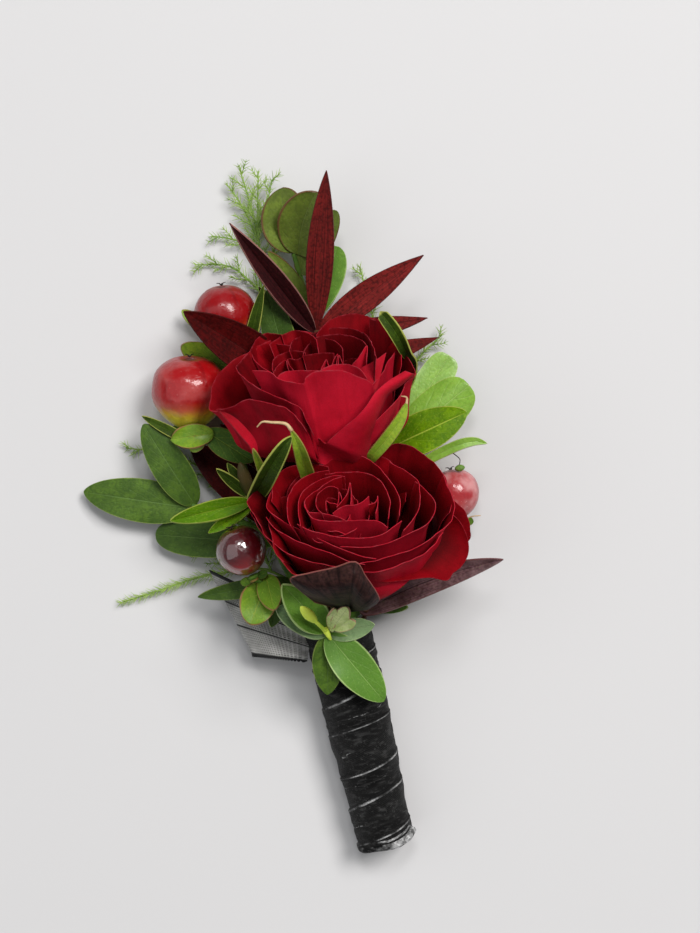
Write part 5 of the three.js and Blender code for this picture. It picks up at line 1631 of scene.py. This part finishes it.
def woundRibbon():
    deselect()
    turns = math.ceil((wrap["bottom"] - wrap["top"]) / wrap["turn"]) + 2
    rows = turns * wrap["rowsPerTurn"]
    bpy.ops.mesh.primitive_grid_add(x_subdivisions=wrap["sides"], y_subdivisions=rows, size=2)
    piece = bpy.context.object
    mesh = piece.data
    laps, reaches = [], []
    for vertex in mesh.vertices:
        around = (vertex.co.x + 1) / 2
        row = (vertex.co.y + 1) / 2 * rows / wrap["rowsPerTurn"]
        phase = row % 1.0
        phase = 0.0 if phase > 0.999 else phase
        along = wrap["top"] + wrap["turn"] * (row - 1.5 + around)
        angle = 2 * math.pi * around
        creases = noise.noise(wrapSpot(angle, phase, row, *wrap["creasePitch"]))
        tatters = noise.noise(wrapSpot(angle, phase, row, *wrap["raggedPitch"]) * 1.3)
        radius = wrapRadius(along) + wrap["ridge"] * (1 - phase ** 0.6) + wrap["wrinkle"] * creases
        edge = along + wrap["ragged"] * tatters * (1 - abs(2 * phase - 1))
        sway = wrap["uneven"] * math.sin(wrap["sway"] * along + 0.9)
        edge += sway * smooth((wrap["unevenEnd"] - along) / 6)
        place = inHandle(math.degrees(angle), radius, edge)
        place.z = max(0.0, place.z)
        vertex.co = place * mm
        laps.append(phase)
        reaches.append(along / 40 + around * 0.3)
    paint(piece, "lap", laps)
    paint(piece, "along", reaches)
    mesh.materials.append(finishes["blackRibbon"])
    bpy.ops.object.mode_set(mode="EDIT")
    bpy.ops.mesh.select_all(action="SELECT")
    bpy.ops.mesh.remove_doubles(threshold=0.00001)
    for along, outwards in ((wrap["top"], -handleDown), (wrap["bottom"], handleDown)):
        bpy.ops.mesh.select_all(action="SELECT")
        bpy.ops.mesh.bisect(plane_co=inHandle(0, 0, along) * mm, plane_no=outwards, clear_outer=True)
    bpy.ops.mesh.select_all(action="SELECT")
    bpy.ops.mesh.normals_make_consistent(inside=False)
    bpy.ops.object.mode_set(mode="OBJECT")
    wall = piece.modifiers.new("wall", "SOLIDIFY")
    wall.thickness = wrap["wall"] * mm
    wall.offset = -1
    bpy.ops.object.modifier_apply(modifier=wall.name)
    return piece


def ribbonRoll(route, radius, end):          # a rolled edge of the ribbon across the lower end
    piece = tube("blackRibbon", [inHandle(*place) for place in route], radius, end)
    # lap values near the lapped edge give the roll painted glints here and there
    middle, swing = wrap["rollGlint"]
    paint(piece, "lap", [middle + swing * math.sin(number) for number in range(len(piece.data.vertices))])
    return piece


def pleatedEnd():          # the ribbon folded over the stems' lower ends
    stand = Stand(inHandle(0, 0, wrap["endAt"]), handleDown)
    piece = turned("blackRibbon", stand, wrap["end"], *wrap["endSides"], wrap["endLumps"])
    for vertex in piece.data.vertices:
        across = (vertex.co.x + wrap["pleatSlant"] * vertex.co.z) / mm
        vertex.co += handleDown * wrap["pleat"] * mm * math.sin(wrap["pleatPitch"] * across)
    paint(piece, "lap", wrap["endLap"])
    return piece


def ribbonWrap():
    rolls = [ribbonRoll(**roll) for roll in wrap["rolls"]]
    return joined("ribbonWrap", [woundRibbon(), *rolls, pleatedEnd()])


# One loop of the same ribbon: two sheer layers that meet in a fold at the left
loop = {
    "rootLow": (-5.6, -3.5), "rootHigh": (-4.6, 3.4), "foldLow": (-15, -2.6), "foldHigh": (-22.5, 12),
    "middle": 5.2, "gap": 1.5, "thickness": 0.12, "pleat": 0.35, "pleatPitch": 21,
    "scallop": 0.28, "scallops": 66, "hem": 0.03, "grid": (40, 264), "cut": (0.0135, 0.0235),
}


def ribbonLoop():
    roots = [Vector(loop[key]) for key in ("rootLow", "rootHigh")]
    folds = [Vector(loop[key]) for key in ("foldLow", "foldHigh")]

    def shape(u, v):
        part = (u + 1) / 2
        turn = math.pi * v
        reach = math.sin(turn) ** 0.7
        side = math.copysign(abs(math.cos(turn)) ** 0.6, math.cos(turn))
        flat = roots[0].lerp(roots[1], part).lerp(folds[0].lerp(folds[1], part), reach)
        pleats = loop["pleat"] * (1 - reach) * math.sin(part * loop["pleatPitch"])
        hem = max(0, 1 - part / loop["hem"])
        scallop = loop["scallop"] * abs(math.sin(turn * loop["scallops"])) * hem
        return Vector((flat.x, flat.y - scallop, loop["middle"] + loop["gap"] * side + pleats))

    piece = blade(shape, loop["grid"], loop["thickness"], [finishes["sheerRibbon"]])
    piece.name = "ribbonLoop"
    bpy.ops.object.shade_smooth_by_angle(angle=softAngle)
    return piece


settle(ribbonWrap(), "ribbon_wrap", "black_ribbon")
sheerLoop = settle(ribbonLoop(), "ribbon_loop", "black_ribbon")

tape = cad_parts["floral_tape"]
tape.data.materials.clear()
tape.data.materials.append(finishes["floralTape"])

deselect()
bpy.ops.mesh.primitive_plane_add(size=studio["tableSize"], location=(0, 0, -studio["tableDrop"] * mm))
table = bpy.context.object
table.name = "paleTable"
table.data.materials.append(tableFinish())
